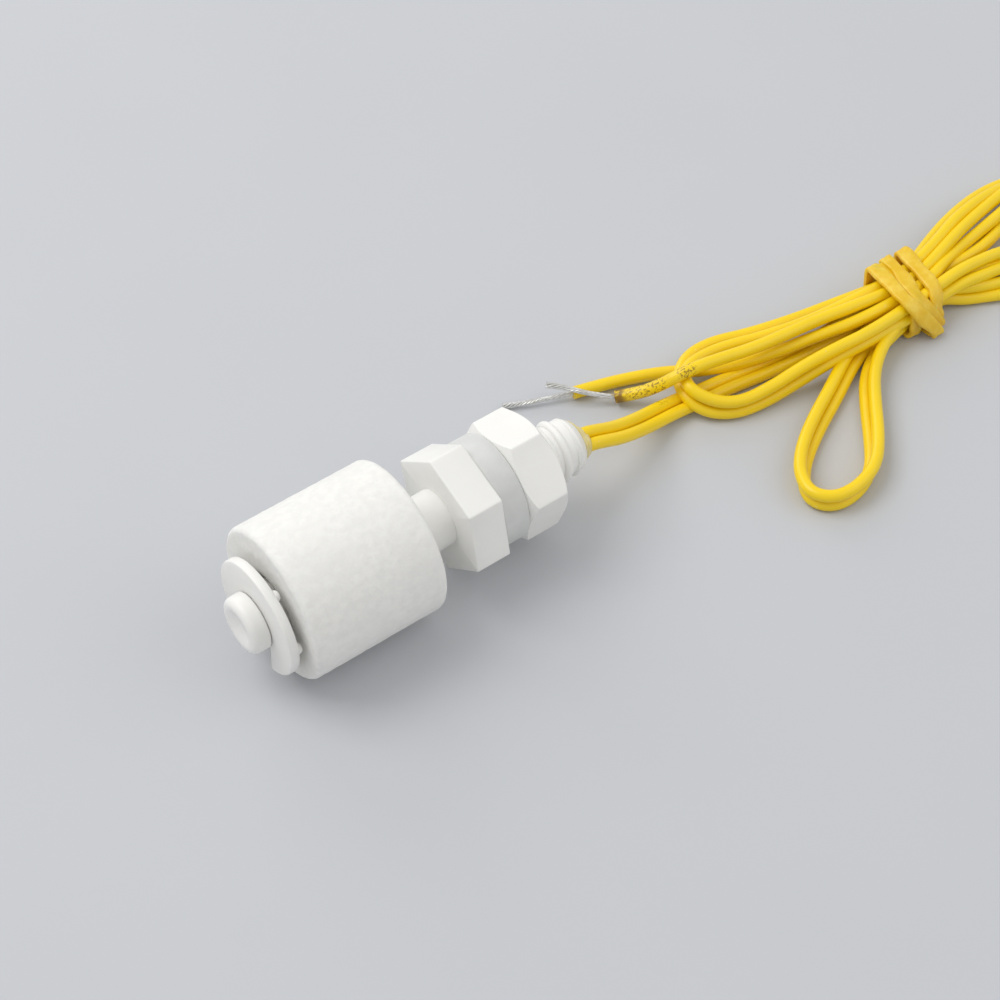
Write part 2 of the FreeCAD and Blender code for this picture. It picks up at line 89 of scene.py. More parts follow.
# Centre line of the pair from the exit to the hank in millimetres: x, y, z and the pair's lean
PAIR_EXIT_ROUTE = (
    (23.20, -0.22, 8.10, 19.0),
    (25.10, -0.15, 7.25, 19.0),
    (27.30, 0.05, 6.00, 21.0),
    (30.30, 0.70, 4.35, 24.0),
    (33.90, 1.70, 2.55, 22.0),
    (37.40, 2.45, 1.30, 14.0),
    (41.30, 2.25, 0.95, 6.0),
)
# Centre line of the pair along the teardrop loop beside the hank
PAIR_LOOP_ROUTE = (
    (64.30, -2.45, 1.42, -40.0),
    (59.70, -3.95, 1.42, -48.0),
    (54.40, -6.90, 1.40, -50.0),
    (49.20, -9.55, 1.40, -52.0),
    (45.10, -12.20, 1.47, -60.0),
    (42.50, -14.90, 1.52, -72.0),
    (41.70, -17.60, 1.53, -82.0),
    (43.50, -19.65, 1.54, -88.0),
    (46.90, -19.75, 1.54, -85.0),
    (50.50, -18.20, 1.52, -72.0),
    (53.50, -14.90, 1.47, -58.0),
    (56.50, -10.90, 1.47, -52.0),
    (59.40, -7.45, 1.55, -52.0),
    (62.90, -5.10, 1.75, -65.0),
    (67.00, -3.90, 2.10, -85.0),
)
# Each wire in the hank: right bight, left bight and second right bight, up to the loop
WIRE_A_HANK_BEFORE_LOOP = (
    (46.0, 2.55, 0.90), (51.0, 1.75, 0.95), (57.0, 1.10, 1.30), (63.0, 0.60, 2.20), (70.0, 0.30, 2.85),
    (74.6, 0.80, 2.85), (79.5, 0.20, 1.70), (85.0, -1.60, 0.80), (91.0, -3.00, 0.80), (95.6, -3.40, 0.80),
    (98.9, -1.20, 0.80), (99.6, 2.20, 0.85), (97.9, 5.00, 1.30), (94.3, 6.10, 2.30), (90.0, 5.60, 3.40),
    (84.0, 4.40, 4.20), (78.8, 2.50, 4.45), (74.6, 1.45, 4.15), (70.0, 0.95, 4.15), (63.5, 1.55, 3.60),
    (57.5, 2.30, 3.35), (51.8, 3.60, 3.30), (47.4, 5.20, 3.10), (43.6, 5.60, 3.00), (41.0, 4.40, 3.50),
    (39.9, 2.30, 3.70), (40.6, 0.50, 3.10), (42.3, -1.30, 2.50), (44.8, -2.35, 2.25), (48.5, -2.75, 2.60),
    (52.5, -2.95, 3.35), (57.0, -3.50, 4.10), (62.5, -4.05, 4.25), (70.0, -3.40, 4.15), (74.6, -2.90, 4.15),
    (77.5, -2.85, 4.50), (80.4, -2.80, 4.20), (84.2, -2.95, 3.80), (88.5, -3.90, 3.00), (91.5, -4.40, 2.50),
    (95.0, -3.20, 1.80), (96.3, 0.20, 0.95), (94.9, 2.60, 0.80), (91.8, 3.20, 0.78), (88.2, 2.20, 0.78),
    (84.0, 0.60, 1.60), (79.8, -0.90, 2.00), (74.6, -1.35, 1.55), (70.0, -1.85, 1.55),
)
WIRE_B_HANK_BEFORE_LOOP = (
    (46.0, 1.10, 0.80), (51.0, 0.35, 0.80), (57.0, -0.20, 0.85), (63.0, -0.40, 1.20), (70.0, -0.40, 1.55),
    (74.6, 0.10, 1.55), (79.5, -1.20, 0.90), (85.0, -3.00, 0.80), (91.0, -4.50, 0.80), (96.6, -4.90, 0.80),
    (100.6, -2.20, 0.80), (101.3, 2.40, 0.80), (99.6, 6.20, 0.85), (95.2, 7.60, 1.20), (90.0, 7.20, 2.00),
    (84.5, 5.90, 2.60), (79.5, 4.20, 2.90), (74.6, 2.25, 2.85), (70.0, 1.75, 2.85), (63.5, 3.05, 2.60),
    (57.5, 4.00, 2.60), (51.5, 5.40, 2.60), (47.2, 7.10, 2.45), (43.3, 7.00, 2.30), (40.3, 4.60, 2.35),
    (39.6, 1.70, 2.00), (40.9, -0.50, 1.10), (43.6, -2.30, 0.80), (47.5, -2.95, 0.85), (52.0, -3.25, 1.50),
    (57.0, -3.70, 2.60), (62.5, -4.30, 3.15), (70.0, -4.05, 2.85), (74.6, -3.55, 2.85), (77.6, -3.90, 3.40),
    (80.2, -4.20, 3.20), (83.1, -4.30, 2.80), (88.0, -5.30, 2.40), (92.5, -5.90, 2.30), (96.6, -4.00, 1.90),
    (97.9, 0.20, 1.00), (96.9, 4.40, 0.85), (94.4, 4.60, 0.85), (91.4, 2.50, 1.75), (87.9, 0.90, 2.10),
    (84.0, -0.25, 2.50), (80.9, -0.60, 2.80), (77.9, -0.65, 3.00), (74.6, -0.65, 2.85), (70.0, -1.15, 2.85),
)
# Each wire in the hank from the loop to its free end, by the third right bight
WIRE_A_HANK_AFTER_LOOP = (
    (70.0, -3.30, 1.55), (74.6, -2.80, 1.55), (77.6, -4.40, 0.85), (79.6, -5.30, 0.80), (83.5, -7.20, 0.80),
    (89.0, -8.30, 0.80), (95.0, -8.60, 0.80), (100.6, -7.40, 0.80), (104.3, -4.00, 0.85),
    (104.9, 0.80, 1.30), (101.9, 4.60, 2.20), (96.5, 5.50, 2.90), (90.5, 4.50, 3.30), (84.0, 2.90, 4.00),
    (79.6, 1.40, 4.50), (74.6, 0.00, 4.15), (70.0, -0.50, 4.15), (63.5, 0.10, 4.50), (58.5, 1.00, 4.45),
    (53.4, 1.45, 4.50),
)
WIRE_B_HANK_AFTER_LOOP = (
    (70.0, -2.60, 2.85), (74.6, -2.10, 2.85), (76.9, -3.60, 2.40), (82.0, -5.40, 1.70), (88.0, -6.50, 0.95),
    (94.0, -6.90, 0.80), (99.2, -6.20, 0.80), (102.6, -3.40, 0.85), (103.2, 0.20, 1.30),
    (100.9, 3.00, 2.20), (96.0, 3.70, 2.95), (89.2, 2.30, 3.10), (84.7, 1.50, 3.10), (81.1, 0.80, 3.30),
    (77.3, -0.40, 3.90), (74.6, -1.45, 4.15), (70.0, -1.95, 4.15), (62.8, -1.50, 3.70), (57.0, 0.05, 3.10),
    (51.4, 1.50, 2.40),
)
# Centre lines of the two free ends, from the hank to the ends of their insulation
WIRE_A_END_ROUTE = (
    (48.90, 1.90, 4.65),
    (45.00, 2.50, 5.05),
    (41.90, 2.95, 5.30),
    (39.50, 3.40, 4.95),
    (37.60, 4.70, 3.20),
    (35.80, 6.20, 1.75),
    (33.80, 7.80, 1.05),
)
WIRE_B_END_ROUTE = (
    (47.20, 3.10, 1.95),
    (44.00, 5.10, 1.30),
    (41.20, 7.50, 0.90),
    (37.30, 9.20, 0.88),
    (33.60, 10.40, 0.95),
    (30.29, 11.33, 0.90),
)
# Bared conductor beyond each free end
STRAND_A_ROUTE = (
    (33.80, 7.80, 1.05),
    (31.96, 9.13, 1.45),
    (30.52, 10.32, 1.90),
    (29.32, 11.87, 2.10),
    (27.81, 13.30, 2.15),
)
STRAND_B_ROUTE = (
    (30.29, 11.33, 0.90),
    (27.52, 12.41, 0.85),
    (24.77, 13.61, 0.65),
    (22.74, 14.83, 0.45),
)

# Marks on the free end of wire a: place in millimetres, reach and kind
WIRE_A_MARKS = (
    (WIRE_A_END_ROUTE[-1], 1.9 * MM, "scorched"),
    ((36.6, 5.5, 2.9), 3.4 * MM, "speckled"),
    ((40.2, 3.2, 5.6), 1.5 * MM, "speckled"),
)

# Middle lines of the rubber band's turns in millimetres, from the back top to the front and under
BAND_TURNS = (
    (
        (70.00, 2.80, 5.15), (69.80, 0.80, 5.14), (69.60, -1.20, 5.14), (69.40, -2.80, 5.12),
        (69.20, -3.90, 4.80), (69.10, -4.60, 4.00), (69.10, -4.95, 2.80), (69.00, -5.05, 1.60),
        (68.80, -4.90, 0.62), (68.80, -4.20, 0.38), (69.00, -2.20, 0.36), (69.40, 0.20, 0.36),
        (69.80, 2.00, 0.40), (69.90, 3.00, 1.00), (70.00, 3.10, 2.40), (70.00, 3.15, 3.80),
        (70.00, 3.15, 4.70),
    ),
    (
        (73.60, 2.90, 5.30), (73.35, 1.20, 5.32), (73.00, -0.80, 5.30), (72.75, -2.60, 5.20),
        (72.60, -3.90, 4.80), (72.40, -4.70, 3.90), (72.30, -5.05, 2.70), (72.40, -5.20, 1.50),
        (72.50, -5.10, 0.62), (72.50, -4.40, 0.38), (72.80, -2.20, 0.36), (73.20, 0.20, 0.36),
        (73.60, 2.20, 0.42), (73.60, 3.10, 1.20), (73.60, 3.25, 2.60), (73.60, 3.35, 4.00),
        (73.60, 3.45, 4.90),
    ),
    (
        (71.15, 2.95, 5.35), (70.90, 1.20, 5.40), (70.50, -0.80, 5.42), (70.20, -2.40, 5.40),
        (70.15, -3.80, 5.05), (70.50, -4.90, 4.10), (71.00, -5.40, 2.90), (71.60, -5.70, 1.70),
        (72.00, -5.70, 0.75), (71.90, -5.20, 0.40), (71.70, -3.60, 0.34), (71.50, -1.00, 0.34),
        (71.40, 1.40, 0.34), (71.30, 2.80, 0.50), (71.20, 3.20, 1.40), (71.15, 3.30, 2.80),
        (71.15, 3.45, 4.20), (71.15, 3.50, 5.00),
    ),
    (
        (68.95, 3.10, 5.20), (68.75, 1.50, 5.40), (68.50, -0.50, 5.60), (68.30, -2.30, 5.70),
        (68.40, -3.90, 5.45), (68.90, -5.10, 4.50), (69.60, -5.80, 3.30), (70.40, -6.30, 2.10),
        (71.10, -6.55, 1.00), (71.35, -6.30, 0.42), (71.20, -4.60, 0.36), (70.60, -2.20, 0.36),
        (70.00, 0.20, 0.36), (69.50, 2.20, 0.38), (69.20, 3.15, 1.00), (69.00, 3.30, 2.40),
        (68.95, 3.40, 3.90), (68.95, 3.45, 4.80),
    ),
)

# Hexagons: direction of one corner in degrees, and how sharp the corners are
FLANGE_CORNER = 18.5
NUT_CORNER = 44.5
CORNER_SHARPNESS = 110

# Radius of the stem's bore, and of the mouth at its end that the epoxy covers
STEM_BORE = 2.2 * MM
STEM_MOUTH = 2.5 * MM

# Camera from the photograph: place, and angles in degrees
CAMERA_PLACE = Vector((-90.333, -138.119, 208.719)) * MM
CAMERA_DOWN = 49.806
CAMERA_HEADING = 36.375
CAMERA_ANGLE = 23.247

# Soft lamps: name, place, side of the square and share of the key power
LAMPS = (
    ("key lamp", (-0.25, 0.30, 0.60), 0.45, 1.0),
    ("fill lamp", (0.45, -0.35, 0.50), 0.60, 0.35),
    ("back lamp", (0.10, 0.60, 0.30), 0.35, 0.30),
)


def linear(red, green, blue):
    """A screen colour, 0 to 255, as a light value."""
    shares = (red / 255, green / 255, blue / 255)
    return tuple(c / 12.92 if c < 0.0405 else ((c + 0.055) / 1.055) ** 2.4 for c in shares)


class Number:
    """A number inside a material, which adds and multiplies like a plain one."""

    def __init__(self, look, socket):
        self.look = look
        self.socket = socket

    def worked(self, operation, *others):
        """The result of one Math node on this number and the others."""
        node = self.look.node("ShaderNodeMath", {"operation": operation}, dict(enumerate((self, *others))))
        return Number(self.look, node.outputs[0])

    def __add__(self, other):
        return self.worked("ADD", other)

    def __radd__(self, other):
        return self.worked("ADD", other)

    def __sub__(self, other):
        return self.worked("SUBTRACT", other)

    def __rsub__(self, other):
        node = self.look.node("ShaderNodeMath", {"operation": "SUBTRACT"}, {0: other, 1: self})
        return Number(self.look, node.outputs[0])

    def __mul__(self, other):
        return self.worked("MULTIPLY", other)

    def __rmul__(self, other):
        return self.worked("MULTIPLY", other)

    def between(self, low, high):
        """0 below low, 1 above high, with a smooth step from one to the other."""
        settings = {"interpolation_type": "SMOOTHSTEP"}
        inputs = {"Value": self, "From Min": low, "From Max": high}
        node = self.look.node("ShaderNodeMapRange", settings, inputs)
        return Number(self.look, node.outputs["Result"])


class Look:
    """A material being built: makes its nodes and joins them."""

    def __init__(self, name):
        self.material = bpy.data.materials.new(name)
        self.material.use_nodes = True
        self.tree = self.material.node_tree
        self.tree.nodes.clear()
        self.output = self.node("ShaderNodeOutputMaterial")
        self.place = self.node("ShaderNodeTexCoord").outputs["Object"]

    def node(self, kind, settings=None, inputs=None):
        """A node of that type with its settings, its inputs set to values or joined to sockets."""
        node = self.tree.nodes.new(kind)
        for name, value in (settings or {}).items():
            setattr(node, name, value)
        for name, value in (inputs or {}).items():
            self.join(value, node.inputs[name])
        return node

    def join(self, value, socket):
        """Links a socket or number to an input, or sets the input's value."""
        if isinstance(value, Number):
            value = value.socket
        if isinstance(value, bpy.types.NodeSocket):
            self.tree.links.new(value, socket)
        elif isinstance(value, tuple) and socket.type == "RGBA" and len(value) == 3:
            socket.default_value = (*value, 1.0)
        else:
            socket.default_value = value

    def noise(self, size, detail=2.0, rough=0.5, stretch=(1.0, 1.0, 1.0)):
        """Noise whose patches are about that size in metres, from 0 to 1."""
        scaled = self.node("ShaderNodeMapping", {}, {"Vector": self.place, "Scale": stretch})
        inputs = {"Vector": scaled.outputs[0], "Scale": 1 / size, "Detail": detail, "Roughness": rough}
        node = self.node("ShaderNodeTexNoise", {}, inputs)
        return Number(self, node.outputs["Fac"])

    def mixed(self, share, first, second):
        """One colour fading into another."""
        node = self.node("ShaderNodeMix", {"data_type": "RGBA"}, {0: share, 6: first, 7: second})
        return node.outputs[2]

    def distance(self, point):
        """Distance in metres from a point of the frame."""
        node = self.node("ShaderNodeVectorMath", {"operation": "DISTANCE"}, {0: self.place, 1: point})
        return Number(self, node.outputs["Value"])

    def bump(self, height, depth):
        """Surface relief: height from 0 to 1 stands for that depth in metres."""
        node = self.node("ShaderNodeBump", {}, {"Height": height, "Distance": depth})
        return node.outputs["Normal"]

    def surface(self, **inputs):
        """The shader itself, with its inputs by name, underscores for spaces."""
        named = {name.replace("_", " "): value for name, value in inputs.items()}
        shader = self.node("ShaderNodeBsdfPrincipled", {}, named)
        self.tree.links.new(shader.outputs[0], self.output.inputs["Surface"])
        return self.material


def white_polypropylene(colour):
    """Smooth moulded plastic that lets a little light in."""
    look = Look("white polypropylene")
    cloud = look.noise(6 * MM, 3.0)
    grain = look.noise(0.35 * MM, 2.0)
    tint = look.mixed(cloud.between(0.3, 0.7), colour, tuple(c * 0.965 for c in colour))
    return look.surface(
        Base_Color=tint,
        Roughness=0.36 + cloud * 0.10,
        IOR=1.49,
        Subsurface_Weight=0.12,
        Subsurface_Radius=(0.9, 0.8, 0.7),
        Subsurface_Scale=0.0008,
        Normal=look.bump(grain, 0.012 * MM),
    )


def foamed_skin(colour):
    """Matt skin of the foamed float, with fine patches and pores."""
    look = Look("foamed polypropylene")
    patches = look.noise(0.9 * MM, 3.0, 0.55)
    pores = look.noise(0.32 * MM, 2.0, 0.6)
    broad = look.noise(7 * MM, 2.0)
    shade = look.mixed(patches.between(0.32, 0.68), tuple(c * 0.94 for c in colour), colour)
    tint = look.mixed(broad.between(0.35, 0.7) * 0.5, shade, tuple(c * 0.95 for c in colour))
    return look.surface(
        Base_Color=tint,
        Roughness=0.62 + pores * 0.12,
        IOR=1.49,
        Subsurface_Weight=0.1,
        Subsurface_Radius=(0.9, 0.8, 0.7),
        Subsurface_Scale=0.0008,
        Normal=look.bump(patches * 0.6 + pores * 0.4, 0.07 * MM),
    )


def silicone(colour):
    """Greyer and more see-through than the hard plastic."""
    look = Look("translucent silicone")
    cloud = look.noise(2.5 * MM, 3.0)
    tint = look.mixed(cloud.between(0.3, 0.7), colour, tuple(c * 0.93 for c in colour))
    return look.surface(
        Base_Color=tint,
        Roughness=0.42 + cloud * 0.12,
        IOR=1.41,
        Subsurface_Weight=0.45,
        Subsurface_Radius=(1.0, 1.0, 1.0),
        Subsurface_Scale=0.0015,
        Normal=look.bump(cloud, 0.02 * MM),
    )


def wire_vinyl(name, colour, marks=()):
    """Yellow vinyl. Marks are place, reach and kind, which is scorched or speckled."""
    look = Look(name)
    cloud = look.noise(5 * MM, 2.0)
    dust = look.noise(0.55 * MM, 1.0).between(0.76, 0.80)
    tint = look.mixed(cloud.between(0.3, 0.7), colour, tuple(c * 0.96 for c in colour))
    tint = look.mixed(dust * 0.35, tint, linear(246, 232, 170))
    for place, reach, kind in marks:
        place = tuple(c * MM for c in place)
        near = 1.0 - look.distance(place).between(reach * 0.5, reach)
        if kind == "scorched":
            smear = near * look.noise(0.6 * MM, 3.0).between(0.30, 0.52)
            tint = look.mixed(smear * 0.85, tint, linear(104, 58, 22))
        else:
            specks = near * look.noise(0.34 * MM, 3.0, 0.65, (1.0, 1.6, 1.0)).between(0.52, 0.58)
            tint = look.mixed(specks * 0.75, tint, linear(112, 66, 22))
    grain = look.noise(0.5 * MM, 2.0)
    return look.surface(
        Base_Color=tint,
        Roughness=0.30 + grain * 0.12,
        IOR=1.53,
        Specular_IOR_Level=0.45,
        Normal=look.bump(grain, 0.008 * MM),
    )


def cured_epoxy(colour):
    """Glossy resin, paler in random patches."""
    look = Look("cured epoxy")
    cloud = look.noise(1.2 * MM, 3.0)
    tint = look.mixed(cloud.between(0.35, 0.7), colour, linear(238, 222, 160))
    return look.surface(
        Base_Color=tint,
        Roughness=0.16 + cloud * 0.12,
        IOR=1.55,
        Subsurface_Weight=0.3,
        Subsurface_Radius=(1.0, 0.7, 0.35),
        Subsurface_Scale=0.0009,
    )


def amber_rubber(colour):
    """Rubber that glows a little at its thin edges."""
    look = Look("amber rubber")
    cloud = look.noise(1.6 * MM, 3.0, 0.6)
    grain = look.noise(0.25 * MM, 2.0)
    tint = look.mixed(cloud.between(0.35, 0.75), colour, linear(242, 208, 74))
    return look.surface(
        Base_Color=tint,
        Roughness=0.32 + cloud * 0.16,
        IOR=1.52,
        Subsurface_Weight=0.25,
        Subsurface_Radius=(1.0, 0.75, 0.3),
        Subsurface_Scale=0.0006,
        Normal=look.bump(grain * 0.5 + cloud * 0.5, 0.03 * MM),
    )


def plain_metal(name, colour, roughness, metallic=1.0, patch=1.0):
    """Metal or ferrite with patches about that many millimetres wide."""
    look = Look(name)
    cloud = look.noise(patch * MM, 3.0)
    tint = look.mixed(cloud.between(0.3, 0.7), colour, tuple(c * 0.82 for c in colour))
    return look.surface(Base_Color=tint, Roughness=roughness + cloud * 0.15, Metallic=metallic)


def capsule_glass():
    """Faintly green glass of the reed capsule."""
    look = Look("reed glass")
    cloud = look.noise(2 * MM, 2.0)
    tint = look.mixed(cloud.between(0.3, 0.7), (0.80, 0.88, 0.84), (0.74, 0.84, 0.80))
    return look.surface(Base_Color=tint, Roughness=0.05 + cloud * 0.05, IOR=1.5, Transmission_Weight=0.8)


def floor_paper(colour):
    """Plain matt floor."""
    look = Look("pale floor")
    grain = look.noise(30 * MM, 3.0)
    tint = look.mixed(grain.between(0.3, 0.7), colour, tuple(c * 0.99 for c in colour))
    return look.surface(Base_Color=tint, Roughness=0.8 + grain * 0.1, Specular_IOR_Level=0.2)


def made_piece(name, points, faces, material, smooth_angle=35.0):
    """A mesh object at the origin, shaded smooth apart from its real edges."""
    mesh = bpy.data.meshes.new(name)
    mesh.from_pydata([tuple(p) for p in points], [], faces)
    mesh.validate()
    mesh.shade_smooth()
    mesh.set_sharp_from_angle(angle=math.radians(smooth_angle))
    mesh.materials.append(material)
    piece = bpy.data.objects.new(name, mesh)
    bpy.context.collection.objects.link(piece)
    return piece


def joined(parts):
    """Points and faces of several shapes as one."""
    points = []
    faces = []
    for more_points, more_faces in parts:
        start = len(points)
        points.extend(more_points)
        faces.extend(tuple(start + i for i in face) for face in more_faces)
    return points, faces


def lofted(rings, closed=False):
    """Skin over rings of equal count. A ring of one point closes the end in a fan."""
    points = [p for ring in rings for p in ring]
    starts = [0]
    for ring in rings:
        starts.append(starts[-1] + len(ring))
    faces = []
    pairs = list(zip(range(len(rings) - 1), range(1, len(rings))))
    if closed:
        pairs.append((len(rings) - 1, 0))
    for a, b in pairs:
        count = max(len(rings[a]), len(rings[b]))
        for k in range(count):
            n = (k + 1) % count
            if len(rings[a]) == 1:
                faces.append((starts[a], starts[b] + n, starts[b] + k))
            elif len(rings[b]) == 1:
                faces.append((starts[a] + k, starts[a] + n, starts[b]))
            else:
                faces.append((starts[a] + k, starts[a] + n, starts[b] + n, starts[b] + k))
    return points, faces


def turned(profile, axis, segments, closed=False):
    """Rings about a line along X from (x, radius) points, in a given count of segments."""
    rings = []
    for x, radius in profile:
        if radius == 0:
            rings.append([Vector((x, axis[0], axis[1]))])
            continue
        ring = []
        for k in range(segments):
            angle = 2 * math.pi * k / segments
            ring.append(Vector((x, axis[0] + radius * math.cos(angle), axis[1] + radius * math.sin(angle))))
        rings.append(ring)
    return lofted(rings, closed)


def rounded(corner_before, corner, corner_after, radius, steps=5):
    """Points of a fillet at one corner of an (x, radius) outline."""
    corner = Vector(corner)
    back = (Vector(corner_before) - corner).normalized()
    ahead = (Vector(corner_after) - corner).normalized()
    half = back.angle(ahead) / 2
    reach = radius / math.tan(half)
    centre = corner + (back + ahead).normalized() * (radius / math.sin(half))
    start = corner + back * reach - centre
    end = corner + ahead * reach - centre
    turn = start.angle_signed(end)
    points = []
    for k in range(steps + 1):
        spin = Matrix.Rotation(-turn * k / steps, 2)
        points.append(tuple(centre + spin @ start))
    return points


def hexagon_angles(first):
    """Directions round a hexagon, closer together at its corners."""
    offsets = (0.0, 0.25, 0.55, 0.9, 1.4, 2.2, 4.0, 8.0, 15.0, 22.5)
    sector = [*offsets, 30.0, *(60.0 - o for o in reversed(offsets[1:]))]
    return [first + 60.0 * k + o for k in range(6) for o in sector]


def hexagon_reach(angle, first, apothem):
    """Distance from the axis to the side of a hexagon with slightly rounded corners."""
    total = 0.0
    for k in range(6):
        share = math.cos(math.radians(angle - first - 30.0 - 60.0 * k))
        if share > 0:
            total += share ** CORNER_SHARPNESS
    return apothem * total ** (-1 / CORNER_SHARPNESS)


def hexagon_ring(x, first, apothem, inset=0.0):
    """One ring of a hexagonal block on the stem's axis, drawn in by the inset."""
    ring = []
    for angle in hexagon_angles(first):
        reach = hexagon_reach(angle, first, apothem) - inset
        turn = math.radians(angle)
        ring.append(Vector((x, reach * math.cos(turn), AXIS_HEIGHT + reach * math.sin(turn))))
    return ring


def round_ring(x, radius, first):
    """A circle with the same directions as a hexagon's ring."""
    angles = [math.radians(a) for a in hexagon_angles(first)]
    return [Vector((x, radius * math.cos(a), AXIS_HEIGHT + radius * math.sin(a))) for a in angles]


def thread_tree(material):
    """Node tree that winds a rounded ridge round the shank, fading out at both ends."""
    tree = bpy.data.node_groups.new("thread ridge", "GeometryNodeTree")
    sockets = tree.interface
    sockets.new_socket("Geometry", in_out="INPUT", socket_type="NodeSocketGeometry")
    for name in ("Turns", "Radius", "Length", "Ridge Width", "Ridge Height"):
        sockets.new_socket(name, in_out="INPUT", socket_type="NodeSocketFloat")
    sockets.new_socket("Place", in_out="INPUT", socket_type="NodeSocketVector")
    sockets.new_socket("Geometry", in_out="OUTPUT", socket_type="NodeSocketGeometry")

    def node(kind, settings=None, inputs=None):
        made = tree.nodes.new(kind)
        for name, value in (settings or {}).items():
            setattr(made, name, value)
        for name, value in (inputs or {}).items():
            if isinstance(value, bpy.types.NodeSocket):
                tree.links.new(value, made.inputs[name])
            else:
                made.inputs[name].default_value = value
        return made

    given = node("NodeGroupInput").outputs
    spiral = node("GeometryNodeCurveSpiral", {}, {
        "Resolution": 56, "Rotations": given["Turns"], "Start Radius": given["Radius"],
        "End Radius": given["Radius"], "Height": given["Length"],
    })
    level = node("GeometryNodeSetCurveNormal", {"mode": "Z_UP"}, {"Curve": spiral.outputs[0]})
    along = node("GeometryNodeSplineParameter").outputs["Factor"]
    smooth = {"interpolation_type": "SMOOTHSTEP"}
    rise = node("ShaderNodeMapRange", smooth, {"Value": along, "From Max": 0.04})
    fall = node("ShaderNodeMapRange", smooth, {"Value": along, "From Min": 1.0, "From Max": 0.90})
    size = node("ShaderNodeMath", {"operation": "MULTIPLY"}, {0: rise.outputs[0], 1: fall.outputs[0]})
    least = node("ShaderNodeMath", {"operation": "MAXIMUM"}, {0: size.outputs[0], 1: 0.03})
    ring = node("GeometryNodeCurvePrimitiveCircle", {}, {"Resolution": 20, "Radius": 1.0})
    shape = node("ShaderNodeCombineXYZ", {}, {0: given["Ridge Height"], 1: given["Ridge Width"], 2: 1.0})
    section = node("GeometryNodeTransform", {}, {"Geometry": ring.outputs[0], "Scale": shape.outputs[0]})
    swept = node("GeometryNodeCurveToMesh", {}, {
        "Curve": level.outputs[0], "Profile Curve": section.outputs[0],
        "Scale": least.outputs[0], "Fill Caps": True,
    })
    laid = node("GeometryNodeTransform", {}, {
        "Geometry": swept.outputs[0], "Translation": given["Place"], "Rotation": (0.0, math.pi / 2, 0.0),
    })
    soft = node("GeometryNodeSetShadeSmooth", {}, {"Geometry": laid.outputs[0]})
    real = node("GeometryNodeRealizeInstances", {}, {"Geometry": soft.outputs[0]})
    coloured = node("GeometryNodeSetMaterial", {}, {"Geometry": real.outputs[0], "Material": material})
    node("NodeGroupOutput", {}, {"Geometry": coloured.outputs[0]})
    return tree


def grown(tree, values):
    """Points and faces that a node tree makes from named inputs."""
    holder = bpy.data.objects.new("holder", bpy.data.meshes.new("holder"))
    bpy.context.collection.objects.link(holder)
    modifier = holder.modifiers.new("grown", "NODES")
    modifier.node_group = tree
    for item in tree.interface.items_tree:
        if item.in_out == "INPUT" and item.name in values:
            modifier[item.identifier] = values[item.name]
    seen = holder.evaluated_get(bpy.context.evaluated_depsgraph_get())
    mesh = bpy.data.meshes.new_from_object(seen)
    points = [v.co.copy() for v in mesh.vertices]
    faces = [tuple(p.vertices) for p in mesh.polygons]
    bpy.data.meshes.remove(holder.data)
    bpy.data.meshes.remove(mesh)
    return points, faces


def side_step(side, lean):
    """How far out and up a wire lies from the centre of its pair, in millimetres."""
    turn = math.radians(lean)
    return side * WIRE_SPACING / 2 * math.cos(turn), side * WIRE_SPACING / 2 * math.sin(turn)


def side_of(route, side):
    """One wire's own points, half a spacing to its side of the pair's centre line."""
    points = []
    for k, (x, y, z, lean) in enumerate(route):
        before = route[max(k - 1, 0)]
        after = route[min(k + 1, len(route) - 1)]
        heading = math.atan2(after[1] - before[1], after[0] - before[0])
        out, up = side_step(side, lean)
        points.append((x - out * math.sin(heading), y + out * math.cos(heading), z + up))
    return points


def exit_point(side):
    """Where one wire leaves the epoxy, in millimetres."""
    out, up = side_step(side, EXIT_LEAN)
    return DOME_END / MM, EXIT_SIDE + out, AXIS_HEIGHT / MM + EXIT_HEIGHT + up


def wire_curve(name, points, diameter):
    """A round cord on one open spline, from points in millimetres."""
    curve = bpy.data.curves.new(name, "CURVE")
    curve.dimensions = "3D"
    curve.resolution_u = 14
    curve.bevel_depth = diameter / 2
    curve.bevel_resolution = 6
    curve.use_fill_caps = True
    spline = curve.splines.new("NURBS")
    spline.points.add(len(points) - 1)
    for k, point in enumerate(points):
        spline.points[k].co = (*(c * MM for c in point), 1.0)
    spline.order_u = 3
    spline.use_endpoint_u = True
    spline.use_smooth = True
    piece = bpy.data.objects.new(name, curve)
    bpy.context.collection.objects.link(piece)
    return piece


def line_of(points):
    """Points along the smooth line of a route given in millimetres."""
    piece = wire_curve("line", points, 0.0)
    seen = piece.evaluated_get(bpy.context.evaluated_depsgraph_get())
    mesh = bpy.data.meshes.new_from_object(seen)
    line = [v.co.copy() for v in mesh.vertices]
    bpy.data.curves.remove(piece.data)
    bpy.data.meshes.remove(mesh)
    return line


def swept_tube(line, radius, sides=10):
    """Round tube along a line, closed at both ends."""
    rings = [[line[0]]]
    normal = Vector((0, 0, 1))
    for k, point in enumerate(line):
        ahead = (line[min(k + 1, len(line) - 1)] - line[max(k - 1, 0)]).normalized()
        normal = (normal - ahead * normal.dot(ahead)).normalized()
        across = ahead.cross(normal)
        ring = []
        for j in range(sides):
            angle = 2 * math.pi * j / sides
            ring.append(point + (normal * math.cos(angle) + across * math.sin(angle)) * radius)
        rings.append(ring)
    rings.append([line[-1]])
    return lofted(rings)


